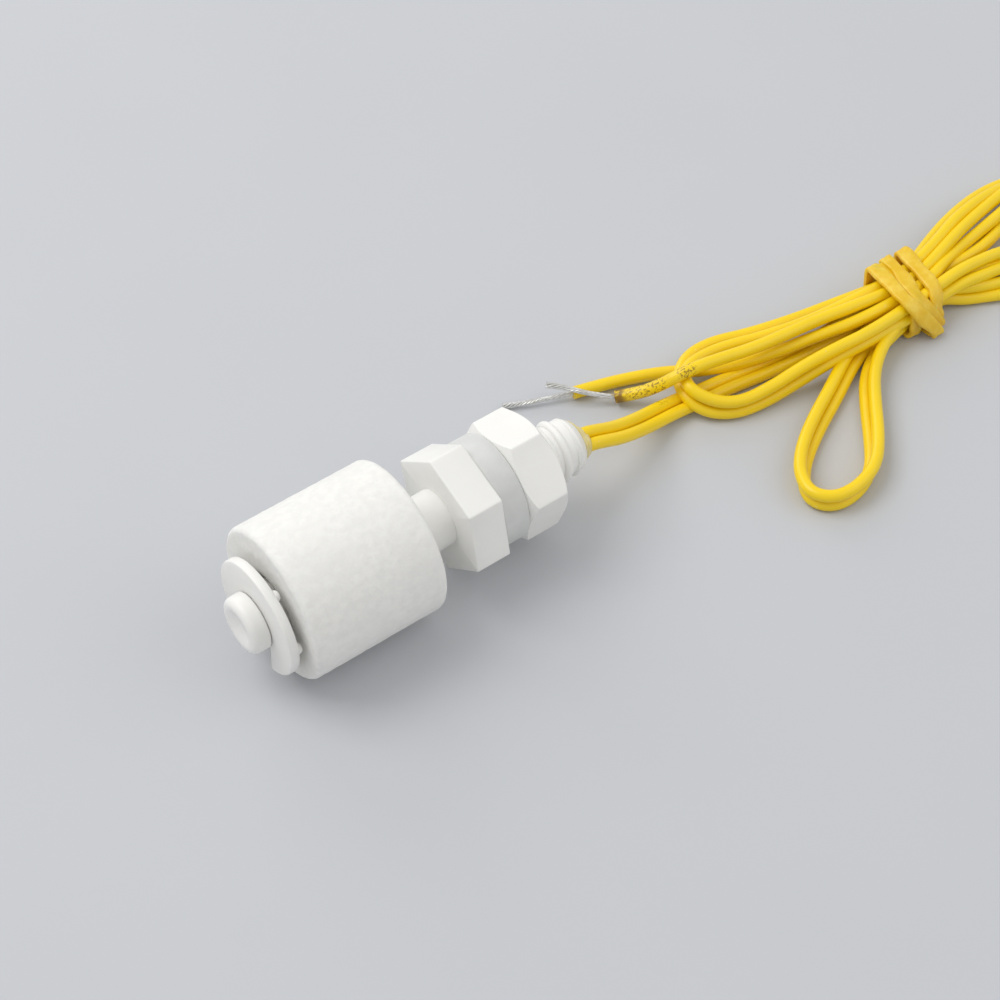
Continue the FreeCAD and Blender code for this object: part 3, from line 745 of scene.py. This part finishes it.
def twisted_strands(route, count, strand_radius):
    """Fine strands wound round a middle one along a route, splaying a little at the tip."""
    turns = 2.5
    splay = 0.5
    line = line_of(route)
    parts = []
    for strand in range(count):
        own = []
        for k, point in enumerate(line):
            share = k / (len(line) - 1)
            ahead = (line[min(k + 1, len(line) - 1)] - line[max(k - 1, 0)]).normalized()
            side = ahead.cross(Vector((0, 0, 1))).normalized()
            up = side.cross(ahead)
            angle = 2 * math.pi * (strand / (count - 1) + turns * share)
            reach = 0.0 if strand == count - 1 else strand_radius * 2.0 * (1.0 + splay * share ** 4)
            own.append(point + (side * math.cos(angle) + up * math.sin(angle)) * reach)
        parts.append(swept_tube(own, strand_radius, 8))
    return joined(parts)


def band_turn(route, width, thickness, seed):
    """One flat turn of the band: a strip along its middle line round the hank."""
    places = [Vector(place) * MM for place in route]
    count = len(places)
    parts = 8
    path = []
    for k in range(count):
        before, here, after, later = (places[(k + j - 1) % count] for j in range(4))
        for step in range(parts):
            t = step / parts
            bend = 2 * before - 5 * here + 4 * after - later
            curl = 3 * here - before - 3 * after + later
            path.append(here + 0.5 * ((after - before) * t + bend * t ** 2 + curl * t ** 3))
    along = Vector((1, 0, 0))
    section = (
        (-0.46, 0.0), (0.46, 0.0), (0.50, 0.30), (0.47, 0.72), (0.40, 0.98), (0.22, 1.00), (0.0, 0.94),
        (-0.22, 1.00), (-0.40, 0.98), (-0.47, 0.72), (-0.50, 0.30),
    )
    rings = []
    steps = len(path)
    for k, point in enumerate(path):
        ahead = (path[(k + 1) % steps] - path[k - 1]).normalized()
        side = (along - ahead * along.dot(ahead)).normalized()
        outward = ahead.cross(side)
        angle = 2 * math.pi * k / steps
        wobble = noise.noise(Vector((1.5 * math.cos(angle), 1.5 * math.sin(angle), seed)))
        pinch = 1.0 + 0.25 * noise.noise(Vector((2.5 * math.cos(angle), 2.5 * math.sin(angle), seed + 7)))
        lean = Matrix.Rotation(0.22 * wobble, 3, ahead)
        ring = []
        for across, height in section:
            offset = side * across * width * pinch + outward * (height - 0.5) * thickness
            ring.append(point + lean @ offset + side * wobble * 0.25 * MM)
        rings.append(ring)
    points, faces = lofted(rings, closed=True)
    lowest = 0.03 * MM
    for place in points:
        place.z = max(place.z, lowest)
    return points, faces


class StemSizes(bpy.types.PropertyGroup):
    guide_radius: FloatProperty(
        name="Guide radius", description="Radius of the tube that the float slides on",
        default=3.3 * MM, unit="LENGTH",
    )
    flange_across_flats: FloatProperty(
        name="Flange across flats", description="Width of the hexagonal flange between two flats",
        default=13.1 * MM, unit="LENGTH",
    )
    flange_thickness: FloatProperty(
        name="Flange thickness", description="Thickness of the flange along the stem",
        default=4.3 * MM, unit="LENGTH",
    )
    thread_root: FloatProperty(
        name="Thread root radius", description="Radius of the shank between the thread's crests",
        default=3.14 * MM, unit="LENGTH",
    )
    thread_crest: FloatProperty(
        name="Thread crest radius", description="Radius of the thread's rounded crests",
        default=3.6 * MM, unit="LENGTH",
    )
    thread_pitch: FloatProperty(
        name="Thread pitch", description="Distance from one crest to the next",
        default=1.5 * MM, unit="LENGTH",
    )
    colour: FloatVectorProperty(
        name="Plastic colour", description="Colour of the white mouldings", subtype="COLOR", size=3,
        default=linear(243, 242, 238),
    )


class ClipSizes(bpy.types.PropertyGroup):
    thickness: FloatProperty(
        name="Thickness", description="Thickness of the clip's disc", default=1.2 * MM, unit="LENGTH",
    )
    mouth_width: FloatProperty(
        name="Mouth width", description="Width of the mouth that snaps over the stem",
        default=4.8 * MM, unit="LENGTH",
    )
    hole_radius: FloatProperty(
        name="Hole radius", description="Radius of the hole that grips the groove",
        default=2.5 * MM, unit="LENGTH",
    )
    mouth_angle: FloatProperty(
        name="Mouth angle", description="Direction of the mouth round the stem",
        default=math.radians(-88.0), subtype="ANGLE",
    )


class FloatSizes(bpy.types.PropertyGroup):
    edge_rounding: FloatProperty(
        name="Edge rounding", description="Radius of the float's outer edges",
        default=0.7 * MM, unit="LENGTH",
    )
    bore_radius: FloatProperty(
        name="Bore radius", description="Radius of the bore that slides on the stem",
        default=3.8 * MM, unit="LENGTH",
    )
    relief: FloatProperty(
        name="Relief", description="Height of the unevenness of the foamed skin", default=0.035 * MM,
        unit="LENGTH", precision=6,
    )
    colour: FloatVectorProperty(
        name="Foam colour", description="Colour of the foamed float", subtype="COLOR", size=3,
        default=linear(241, 240, 236),
    )


class FastenerSizes(bpy.types.PropertyGroup):
    nut_across_flats: FloatProperty(
        name="Nut across flats", description="Width of the nut between two flats",
        default=12.4 * MM, unit="LENGTH",
    )
    nut_bore: FloatProperty(
        name="Nut bore radius", description="Radius of the nut's thread at the crests of the stem",
        default=3.66 * MM, unit="LENGTH",
    )
    washer_colour: FloatVectorProperty(
        name="Washer colour", description="Colour of the silicone washer", subtype="COLOR", size=3,
        default=linear(216, 217, 214),
    )


class WireSizes(bpy.types.PropertyGroup):
    diameter: FloatProperty(
        name="Diameter", description="Outer diameter of the insulation", default=WIRE_DIAMETER, unit="LENGTH",
    )
    strands: IntProperty(
        name="Strands", description="Count of tinned strands in each conductor", default=7, min=3,
    )
    strand_radius: FloatProperty(
        name="Strand radius", description="Radius of one tinned strand", default=0.1 * MM, unit="LENGTH",
        precision=6,
    )
    colour: FloatVectorProperty(
        name="Insulation colour", description="Colour of the wires' insulation", subtype="COLOR", size=3,
        default=linear(250, 214, 16),
    )
    epoxy_colour: FloatVectorProperty(
        name="Epoxy colour", description="Colour of the resin that seals the wires in",
        subtype="COLOR", size=3, default=linear(222, 204, 138),
    )


class BandSizes(bpy.types.PropertyGroup):
    thickness: FloatProperty(
        name="Thickness", description="Thickness of the band", default=0.55 * MM, unit="LENGTH",
    )
    width: FloatProperty(
        name="Width", description="Width of the band", default=1.85 * MM, unit="LENGTH",
    )
    colour: FloatVectorProperty(
        name="Band colour", description="Colour of the rubber band", subtype="COLOR", size=3,
        default=linear(234, 190, 22),
    )


class StageSizes(bpy.types.PropertyGroup):
    floor_size: FloatProperty(
        name="Floor size", description="Side of the square floor", default=4.0, unit="LENGTH",
    )
    floor_colour: FloatVectorProperty(
        name="Floor colour", description="Colour of the plain floor", subtype="COLOR", size=3,
        default=linear(196, 198, 202),
    )
    key_power: FloatProperty(
        name="Key power", description="Power of the main soft lamp", default=2.2, unit="POWER",
    )
    sky: FloatProperty(name="Sky", description="Strength of the even light all round", default=0.63)


class LEVEL_SWITCH_OT_stage(bpy.types.Operator):
    """Camera, floor, lamps and even light"""

    bl_idname = "level_switch.stage"
    bl_label = "Stage"

    def execute(self, context):
        sizes = context.scene.level_switch_stage
        camera_data = bpy.data.cameras.new("camera")
        camera_data.lens_unit = "FOV"
        camera_data.angle = math.radians(CAMERA_ANGLE)
        camera_data.clip_start = 0.005
        camera = bpy.data.objects.new("camera", camera_data)
        camera.location = CAMERA_PLACE
        camera.rotation_euler = (math.radians(90 - CAMERA_DOWN), 0, math.radians(-CAMERA_HEADING))
        context.collection.objects.link(camera)
        context.scene.camera = camera

        half = sizes.floor_size / 2
        corners = [(-half, -half, 0), (half, -half, 0), (half, half, 0), (-half, half, 0)]
        floor = made_piece("floor", corners, [(0, 1, 2, 3)], floor_paper(tuple(sizes.floor_colour)))
        for name, place, size, share in LAMPS:
            self.add_lamp(context, name, place, size, sizes.key_power * share)

        world = bpy.data.worlds.new("soft daylight")
        world.use_nodes = True
        nodes = world.node_tree.nodes
        links = world.node_tree.links
        sky = nodes["Background"]
        sky.inputs["Color"].default_value = (1.0, 1.0, 1.0, 1.0)
        sky.inputs["Strength"].default_value = sizes.sky
        backdrop = nodes.new("ShaderNodeBackground")
        backdrop.inputs["Color"].default_value = (*sizes.floor_colour, 1.0)
        backdrop.inputs["Strength"].default_value = sizes.sky
        seen = nodes.new("ShaderNodeLightPath")
        mixed = nodes.new("ShaderNodeMixShader")
        links.new(seen.outputs["Is Camera Ray"], mixed.inputs[0])
        links.new(sky.outputs[0], mixed.inputs[1])
        links.new(backdrop.outputs[0], mixed.inputs[2])
        links.new(mixed.outputs[0], nodes["World Output"].inputs["Surface"])
        context.scene.world = world
        context.scene.view_settings.view_transform = "Standard"
        return {"FINISHED"}

    def add_lamp(self, context, name, place, size, power):
        """A square soft lamp that shines at the middle of the object."""
        data = bpy.data.lights.new(name, "AREA")
        data.size = size
        data.energy = power
        lamp = bpy.data.objects.new(name, data)
        lamp.location = place
        aim = (CAD_LOW + CAD_HIGH) / 2 - lamp.location
        lamp.rotation_euler = aim.to_track_quat("-Z", "Y").to_euler()
        context.collection.objects.link(lamp)


class LEVEL_SWITCH_OT_wires(bpy.types.Operator):
    """The two lead wires with their bared ends, and the epoxy that they come out of"""

    bl_idname = "level_switch.wires"
    bl_label = "Lead wires"

    def execute(self, context):
        sizes = context.scene.level_switch_wires
        yellow = tuple(sizes.colour)
        tin = plain_metal("tinned copper", linear(232, 232, 230), 0.30, 0.75, 0.4)
        wire_a_points = [exit_point(1)] + side_of(PAIR_EXIT_ROUTE, 1) + list(WIRE_A_HANK_BEFORE_LOOP)
        wire_a_points += side_of(PAIR_LOOP_ROUTE, 1) + list(WIRE_A_HANK_AFTER_LOOP) + list(WIRE_A_END_ROUTE)
        wire_b_points = [exit_point(-1)] + side_of(PAIR_EXIT_ROUTE, -1) + list(WIRE_B_HANK_BEFORE_LOOP)
        wire_b_points += side_of(PAIR_LOOP_ROUTE, -1) + list(WIRE_B_HANK_AFTER_LOOP) + list(WIRE_B_END_ROUTE)
        vinyl_a = wire_vinyl("yellow vinyl a", yellow, WIRE_A_MARKS)
        self.add_wire("wire_a", wire_a_points, STRAND_A_ROUTE, vinyl_a, tin,
                      ("exit_wire_a", "loop_wire_a", "end_wire_a", "wire_hank"), "tinned_end_a", sizes)
        vinyl_b = wire_vinyl("yellow vinyl b", yellow)
        self.add_wire("wire_b", wire_b_points, STRAND_B_ROUTE, vinyl_b, tin,
                      ("exit_wire_b", "loop_wire_b", "end_wire_b"), "tinned_end_b", sizes)
        self.add_epoxy(sizes)
        return {"FINISHED"}

    def add_wire(self, name, points, strand_route, vinyl, tin, nodes, strand_node, sizes):
        """One wire from the epoxy to its bared end."""
        wire = wire_curve(name, points, sizes.diameter)
        wire.data.materials.append(vinyl)
        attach(wire, "root")
        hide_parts(*nodes)
        shape = twisted_strands(strand_route, sizes.strands, sizes.strand_radius)
        strands = made_piece(f"tinned_strands_{name[-1]}", *shape, tin)
        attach(strands, "root")
        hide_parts(strand_node)
        [c * MM for c in points[0]]

    def add_epoxy(self, sizes):
        """Epoxy in the bore's end, with a slightly uneven dome round the wires."""
        end = STEM_HIGH.x
        bottom = end - 13 * MM
        radius = STEM_BORE - 0.01 * MM
        height = 0.72 * MM
        steps = 12
        profile = [(bottom, 0), (bottom, radius), (end - 0.05 * MM, radius), (end, STEM_MOUTH)]
        for k in range(1, steps):
            turn = math.pi / 2 * k / steps
            profile.append((end + height * math.sin(turn), STEM_MOUTH * math.cos(turn) ** 0.8))
        profile.append((end + height, 0))
        points, faces = turned(profile, STEM_AXIS, 48)
        for point in points:
            share = min(1.0, max(0.0, (point.x - end) / (0.35 * MM)))
            creep = 0.0
            for side in (1, -1):
                _, y, z = exit_point(side)
                away = math.hypot(point.y / MM - y, point.z / MM - z)
                creep += math.exp(-(away / 1.25) ** 4)
            point.x += share * MM * (0.2 * noise.noise(point * 700) + min(1.0, creep))
        epoxy = made_piece("epoxy", points, faces, cured_epoxy(tuple(sizes.epoxy_colour)), 60.0)
        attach(epoxy, "root")
        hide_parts("potting_plug")


class LEVEL_SWITCH_OT_stem(bpy.types.Operator):
    """The stem moulding with its flange and thread"""

    bl_idname = "level_switch.stem"
    bl_label = "Stem"

    def execute(self, context):
        sizes = context.scene.level_switch_stem
        clip = context.scene.level_switch_clip
        tip = STEM_LOW.x
        end = STEM_HIGH.x
        flange_front = WASHER_LOW.x - sizes.flange_thickness
        guide = sizes.guide_radius
        root = sizes.thread_root
        groove = clip.hole_radius - 0.02 * MM
        groove_front = CLIP_LOW.x - 0.05 * MM
        groove_rear = groove_front + clip.thickness + 0.1 * MM
        bore_end = groove_rear + 2.15 * MM
        lip = 0.12 * MM
        # Depth and radius of the dished tip, in millimetres
        dish = ((0.5, 0), (0.42, 0.9), (0.18, 1.7), (0, 2.2))
        profile = [(tip + depth * MM, radius * MM) for depth, radius in dish]
        profile += rounded((tip, 0), (tip, guide), (0, guide), 0.8 * MM)
        profile += [(groove_front - lip, guide), (groove_front, guide - lip), (groove_front, groove)]
        profile += [(groove_rear, groove), (groove_rear, guide - lip), (groove_rear + lip, guide)]
        profile += [(flange_front + 1 * MM, guide), (flange_front + 1 * MM, root)]
        profile += [(end - 0.8 * MM, root), (end - 0.1 * MM, root - 0.55 * MM), (end, root - 0.7 * MM)]
        profile += [(end, STEM_BORE), (bore_end, STEM_BORE), (bore_end, 0)]
        white = white_polypropylene(tuple(sizes.colour))
        core = turned(profile, STEM_AXIS, 128)
        apothem = sizes.flange_across_flats / 2
        edge = 0.14 * MM
        soft = edge * 0.35
        sunk = 0.1 * MM
        back = WASHER_LOW.x
        flange = lofted([
            round_ring(flange_front, guide - sunk, FLANGE_CORNER),
            hexagon_ring(flange_front, FLANGE_CORNER, apothem, edge),
            hexagon_ring(flange_front + soft, FLANGE_CORNER, apothem, soft),
            hexagon_ring(flange_front + edge, FLANGE_CORNER, apothem),
            hexagon_ring(back - edge, FLANGE_CORNER, apothem),
            hexagon_ring(back - soft, FLANGE_CORNER, apothem, soft),
            hexagon_ring(back, FLANGE_CORNER, apothem, edge),
            round_ring(back, root - sunk, FLANGE_CORNER),
        ], closed=True)
        length = end - 0.9 * MM - back
        ridge = grown(thread_tree(white), {
            "Turns": length / sizes.thread_pitch,
            "Radius": root,
            "Length": length,
            "Ridge Width": 0.31 * sizes.thread_pitch,
            "Ridge Height": sizes.thread_crest - root,
            "Place": (back, 0.0, AXIS_HEIGHT),
        })
        stem = made_piece("stem", *joined((core, flange, ridge)), white)
        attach(stem, "root")
        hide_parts("stem_body")
        return {"FINISHED"}


class LEVEL_SWITCH_OT_clip(bpy.types.Operator):
    """The retaining clip with its mouth and pips"""

    bl_idname = "level_switch.clip"
    bl_label = "Clip"

    def execute(self, context):
        sizes = context.scene.level_switch_clip
        radius = max((CLIP_HIGH.y - CLIP_LOW.y) / 2, CLIP_HIGH.z - AXIS_HEIGHT)
        front = CLIP_LOW.x
        outline = self.outline(radius, sizes.hole_radius, sizes.mouth_width / 2, sizes.mouth_angle)
        edge = 0.3 * MM
        steps = ((0.0, edge), (0.3 * edge, 0.3 * edge), (edge, 0.0))
        levels = [(front + x, inset) for x, inset in steps]
        levels += [(front + sizes.thickness - x, inset) for x, inset in reversed(steps)]
        rings = []
        for x, inset in levels:
            rings.append([self.drawn_in(k, outline, inset, x) for k in range(len(outline))])
        points, faces = lofted(rings)
        count = len(outline)
        last = len(points) - count
        for k in range(count // 2 - 1):
            across = count - 1 - k
            faces.append((k, across, across - 1, k + 1))
            faces.append((last + k, last + k + 1, last + across - 1, last + across))
        parts = [(points, faces)]
        face = front + sizes.thickness
        reach = radius - 0.72 * MM
        # Height off the disc and radius of a pip, in millimetres
        pip = ((-0.35, 0), (-0.35, 0.66), (0.22, 0.63), (0.40, 0.50), (0.48, 0.28), (0.5, 0))
        profile = [(face + height * MM, width * MM) for height, width in pip]
        for degrees in (115.0, 176.0):
            turn = math.radians(degrees)
            axis = (reach * math.cos(turn), AXIS_HEIGHT + reach * math.sin(turn))
            parts.append(turned(profile, axis, 24))
        stem = context.scene.level_switch_stem
        clip = made_piece("clip", *joined(parts), white_polypropylene(tuple(stem.colour)), 30.0)
        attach(clip, "root")
        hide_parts("retaining_clip")
        return {"FINISHED"}

    def outline(self, radius, hole, half_mouth, direction):
        """Outline of the disc with its mouth: (side, height) points off the stem's axis."""
        points = []
        outer_gap = math.asin(half_mouth / radius)
        inner_gap = math.asin(min(0.97, half_mouth / hole))
        steps = 120
        for k in range(steps + 1):
            angle = direction + outer_gap + (2 * math.pi - 2 * outer_gap) * k / steps
            points.append((radius * math.cos(angle), radius * math.sin(angle)))
        for k in range(steps + 1):
            angle = direction - inner_gap - (2 * math.pi - 2 * inner_gap) * k / steps
            points.append((hole * math.cos(angle), hole * math.sin(angle)))
        return points

    def drawn_in(self, k, outline, inset, x):
        """One point of the outline, moved inwards from the clip's edge."""
        before = Vector(outline[k - 1])
        here = Vector(outline[k])
        after = Vector(outline[(k + 1) % len(outline)])
        first = (here - before).normalized()
        second = (after - here).normalized()
        normal = (Vector((-first.y, first.x)) + Vector((-second.y, second.x))).normalized()
        stretch = 1 / max(0.5, normal.dot(Vector((-first.y, first.x))))
        moved = here + normal * inset * stretch
        return Vector((x, moved.x, AXIS_HEIGHT + moved.y))


class LEVEL_SWITCH_OT_float(bpy.types.Operator):
    """The foamed float, with the magnet and its cover"""

    bl_idname = "level_switch.float"
    bl_label = "Float"

    def execute(self, context):
        sizes = context.scene.level_switch_float
        radius = (FLOAT_HIGH.y - FLOAT_LOW.y) / 2
        cover_low, cover_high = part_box("magnet_cover")
        magnet_low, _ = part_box("ring_magnet")
        pocket = (cover_high.y - cover_low.y) / 2
        front, rear = FLOAT_LOW.x, FLOAT_HIGH.x
        bore = sizes.bore_radius
        rounding = sizes.edge_rounding
        chamfer = 0.4 * MM
        pocket_end = magnet_low.x - 0.06 * MM
        profile = [(front + chamfer, bore), (front, bore + chamfer)]
        profile += self.stepped((front, bore + chamfer), (front, radius - rounding), 12)
        profile += rounded((front, 0), (front, radius), (rear, radius), rounding, 8)
        profile += self.stepped((front + rounding, radius), (rear - rounding, radius), 60)
        profile += rounded((front, radius), (rear, radius), (rear, 0), rounding, 8)
        profile += self.stepped((rear, radius - rounding), (rear, pocket), 8)
        profile += [(rear, pocket), (pocket_end, pocket), (pocket_end, bore)]
        points, faces = turned(profile, FLOAT_AXIS, 256, closed=True)
        self.roughen(points, radius, pocket, bore + 2 * chamfer, sizes.relief)
        foam = foamed_skin(tuple(sizes.colour))
        body = made_piece("float", points, faces, foam, 50.0)
        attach(body, "float")
        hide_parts("float_body")
        dressed("magnet_cover", foam)
        dressed("ring_magnet", plain_metal("sintered ferrite", (0.035, 0.035, 0.038), 0.6, 0.3))
        return {"FINISHED"}

    def roughen(self, points, radius, pocket, inner, relief):
        """Draws the foamed skin in unevenly, on the round side and the front face."""
        axis = Vector((0, FLOAT_AXIS[0], FLOAT_AXIS[1]))
        near = 0.05 * MM
        for point in points:
            out = point - axis
            out.x = 0
            outside = out.length > pocket + 0.01 * MM or point.x < FLOAT_LOW.x + near
            if not outside or out.length <= inner:
                continue
            lift = noise.noise(point * 900) + 0.6 * noise.noise(point * 2100) - 0.9
            if out.length > radius - 0.5 * MM:
                point += out.normalized() * lift * relief
            if abs(point.x - FLOAT_LOW.x) < near:
                point.x -= lift * relief

    def stepped(self, start, end, count):
        """Points between two places of the outline, both left out."""
        points = []
        for k in range(1, count):
            share = k / count
            points.append((start[0] + (end[0] - start[0]) * share, start[1] + (end[1] - start[1]) * share))
        return points


class LEVEL_SWITCH_OT_fasteners(bpy.types.Operator):
    """The seal washer and the mounting nut"""

    bl_idname = "level_switch.fasteners"
    bl_label = "Washer and nut"

    def execute(self, context):
        sizes = context.scene.level_switch_fasteners
        stem = context.scene.level_switch_stem
        self.add_washer(sizes)
        self.add_nut(sizes, white_polypropylene(tuple(stem.colour)))
        return {"FINISHED"}

    def add_washer(self, sizes):
        """The soft ring between flange and nut."""
        outer = (WASHER_HIGH.y - WASHER_LOW.y) / 2
        front, rear = WASHER_LOW.x, WASHER_HIGH.x
        bore = sizes.nut_bore
        edge = 0.3 * MM
        profile = [(front, bore)]
        profile += rounded((front, bore), (front, outer), (rear, outer), edge, 6)
        profile += rounded((front, outer), (rear, outer), (rear, bore), edge, 6)
        profile += [(rear, bore)]
        points, faces = turned(profile, STEM_AXIS, 96, closed=True)
        washer = made_piece("washer", points, faces, silicone(tuple(sizes.washer_colour)), 60.0)
        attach(washer, "washer")
        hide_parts("seal_washer")

    def add_nut(self, sizes, white):
        """The hexagon nut, its corners cut off on both faces by a cone."""
        apothem = sizes.nut_across_flats / 2
        face = 6.15 * MM
        slope = math.tan(math.radians(33.0))
        front, rear = NUT_LOW.x + 0.01 * MM, NUT_HIGH.x
        bore = sizes.nut_bore
        chamfer = 0.45 * MM
        front_edge = hexagon_ring(front, NUT_CORNER, apothem)
        rear_edge = hexagon_ring(rear, NUT_CORNER, apothem)
        for near, far in zip(front_edge, rear_edge):
            reach = math.hypot(near.y, near.z - AXIS_HEIGHT)
            near.x += (reach - face) * slope
            far.x -= (reach - face) * slope
        points, faces = lofted([
            round_ring(front + chamfer, bore, NUT_CORNER),
            round_ring(front, bore + chamfer, NUT_CORNER),
            round_ring(front, face, NUT_CORNER),
            front_edge,
            rear_edge,
            round_ring(rear, face, NUT_CORNER),
            round_ring(rear, bore + chamfer, NUT_CORNER),
            round_ring(rear - chamfer, bore, NUT_CORNER),
        ], closed=True)
        nut = made_piece("nut", points, faces, white, 22.0)
        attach(nut, "nut")
        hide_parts("mounting_nut")


class LEVEL_SWITCH_OT_band(bpy.types.Operator):
    """The rubber band round the hank"""

    bl_idname = "level_switch.band"
    bl_label = "Rubber band"

    def execute(self, context):
        sizes = context.scene.level_switch_band
        turns = []
        for seed, route in enumerate(BAND_TURNS):
            turns.append(band_turn(route, sizes.width, sizes.thickness, seed * 3.7))
        band = made_piece("rubber_band_turns", *joined(turns), amber_rubber(tuple(sizes.colour)), 50.0)
        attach(band, "root")
        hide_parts("rubber_band")
        return {"FINISHED"}


class LEVEL_SWITCH_OT_inside(bpy.types.Operator):
    """Finishes of the reed switch and the wires inside the bore"""

    bl_idname = "level_switch.inside"
    bl_label = "Inner parts"

    def execute(self, context):
        plated = plain_metal("plated lead", linear(176, 172, 162), 0.28)
        solder = plain_metal("solder", linear(168, 170, 174), 0.38)
        vinyl = wire_vinyl("yellow vinyl inside", tuple(context.scene.level_switch_wires.colour))
        dressed("reed_glass", capsule_glass())
        for side in ("near", "far"):
            dressed(f"reed_blade_{side}", plated)
            dressed(f"solder_joint_{side}", solder)
        for wire in ("near", "return"):
            dressed(f"inner_wire_{wire}", vinyl)
        return {"FINISHED"}


def dressed(node, material):
    """Gives a solid that stays in view its own finish."""
    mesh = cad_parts[node].data
    mesh.materials.clear()
    mesh.materials.append(material)


class LEVEL_SWITCH_PT_panel(bpy.types.Panel):
    """Sizes, colours and build steps of the level switch"""

    bl_idname = "LEVEL_SWITCH_PT_panel"
    bl_label = "Level switch"
    bl_space_type = "VIEW_3D"
    bl_region_type = "UI"
    bl_category = "Level switch"

    def draw(self, context):
        for operator, group in STEPS:
            self.layout.operator(operator.bl_idname)
            if group is not None:
                sizes = getattr(context.scene, operator.bl_idname.replace(".", "_"))
                for name in group.__annotations__:
                    self.layout.prop(sizes, name)


STEPS = (
    (LEVEL_SWITCH_OT_stage, StageSizes),
    (LEVEL_SWITCH_OT_wires, WireSizes),
    (LEVEL_SWITCH_OT_stem, StemSizes),
    (LEVEL_SWITCH_OT_clip, ClipSizes),
    (LEVEL_SWITCH_OT_float, FloatSizes),
    (LEVEL_SWITCH_OT_fasteners, FastenerSizes),
    (LEVEL_SWITCH_OT_band, BandSizes),
    (LEVEL_SWITCH_OT_inside, None),
)


def register():
    for operator, group in STEPS:
        bpy.utils.register_class(operator)
        if group is not None:
            bpy.utils.register_class(group)
            setattr(bpy.types.Scene, operator.bl_idname.replace(".", "_"), PointerProperty(type=group))
    bpy.utils.register_class(LEVEL_SWITCH_PT_panel)


def unregister():
    bpy.utils.unregister_class(LEVEL_SWITCH_PT_panel)
    for operator, group in reversed(STEPS):
        if group is not None:
            delattr(bpy.types.Scene, operator.bl_idname.replace(".", "_"))
            bpy.utils.unregister_class(group)
        bpy.utils.unregister_class(operator)


def main():
    register()
    for operator, _ in STEPS:
        family, name = operator.bl_idname.split(".")
        getattr(getattr(bpy.ops, family), name)()


if __name__ == "__main__":
    main()
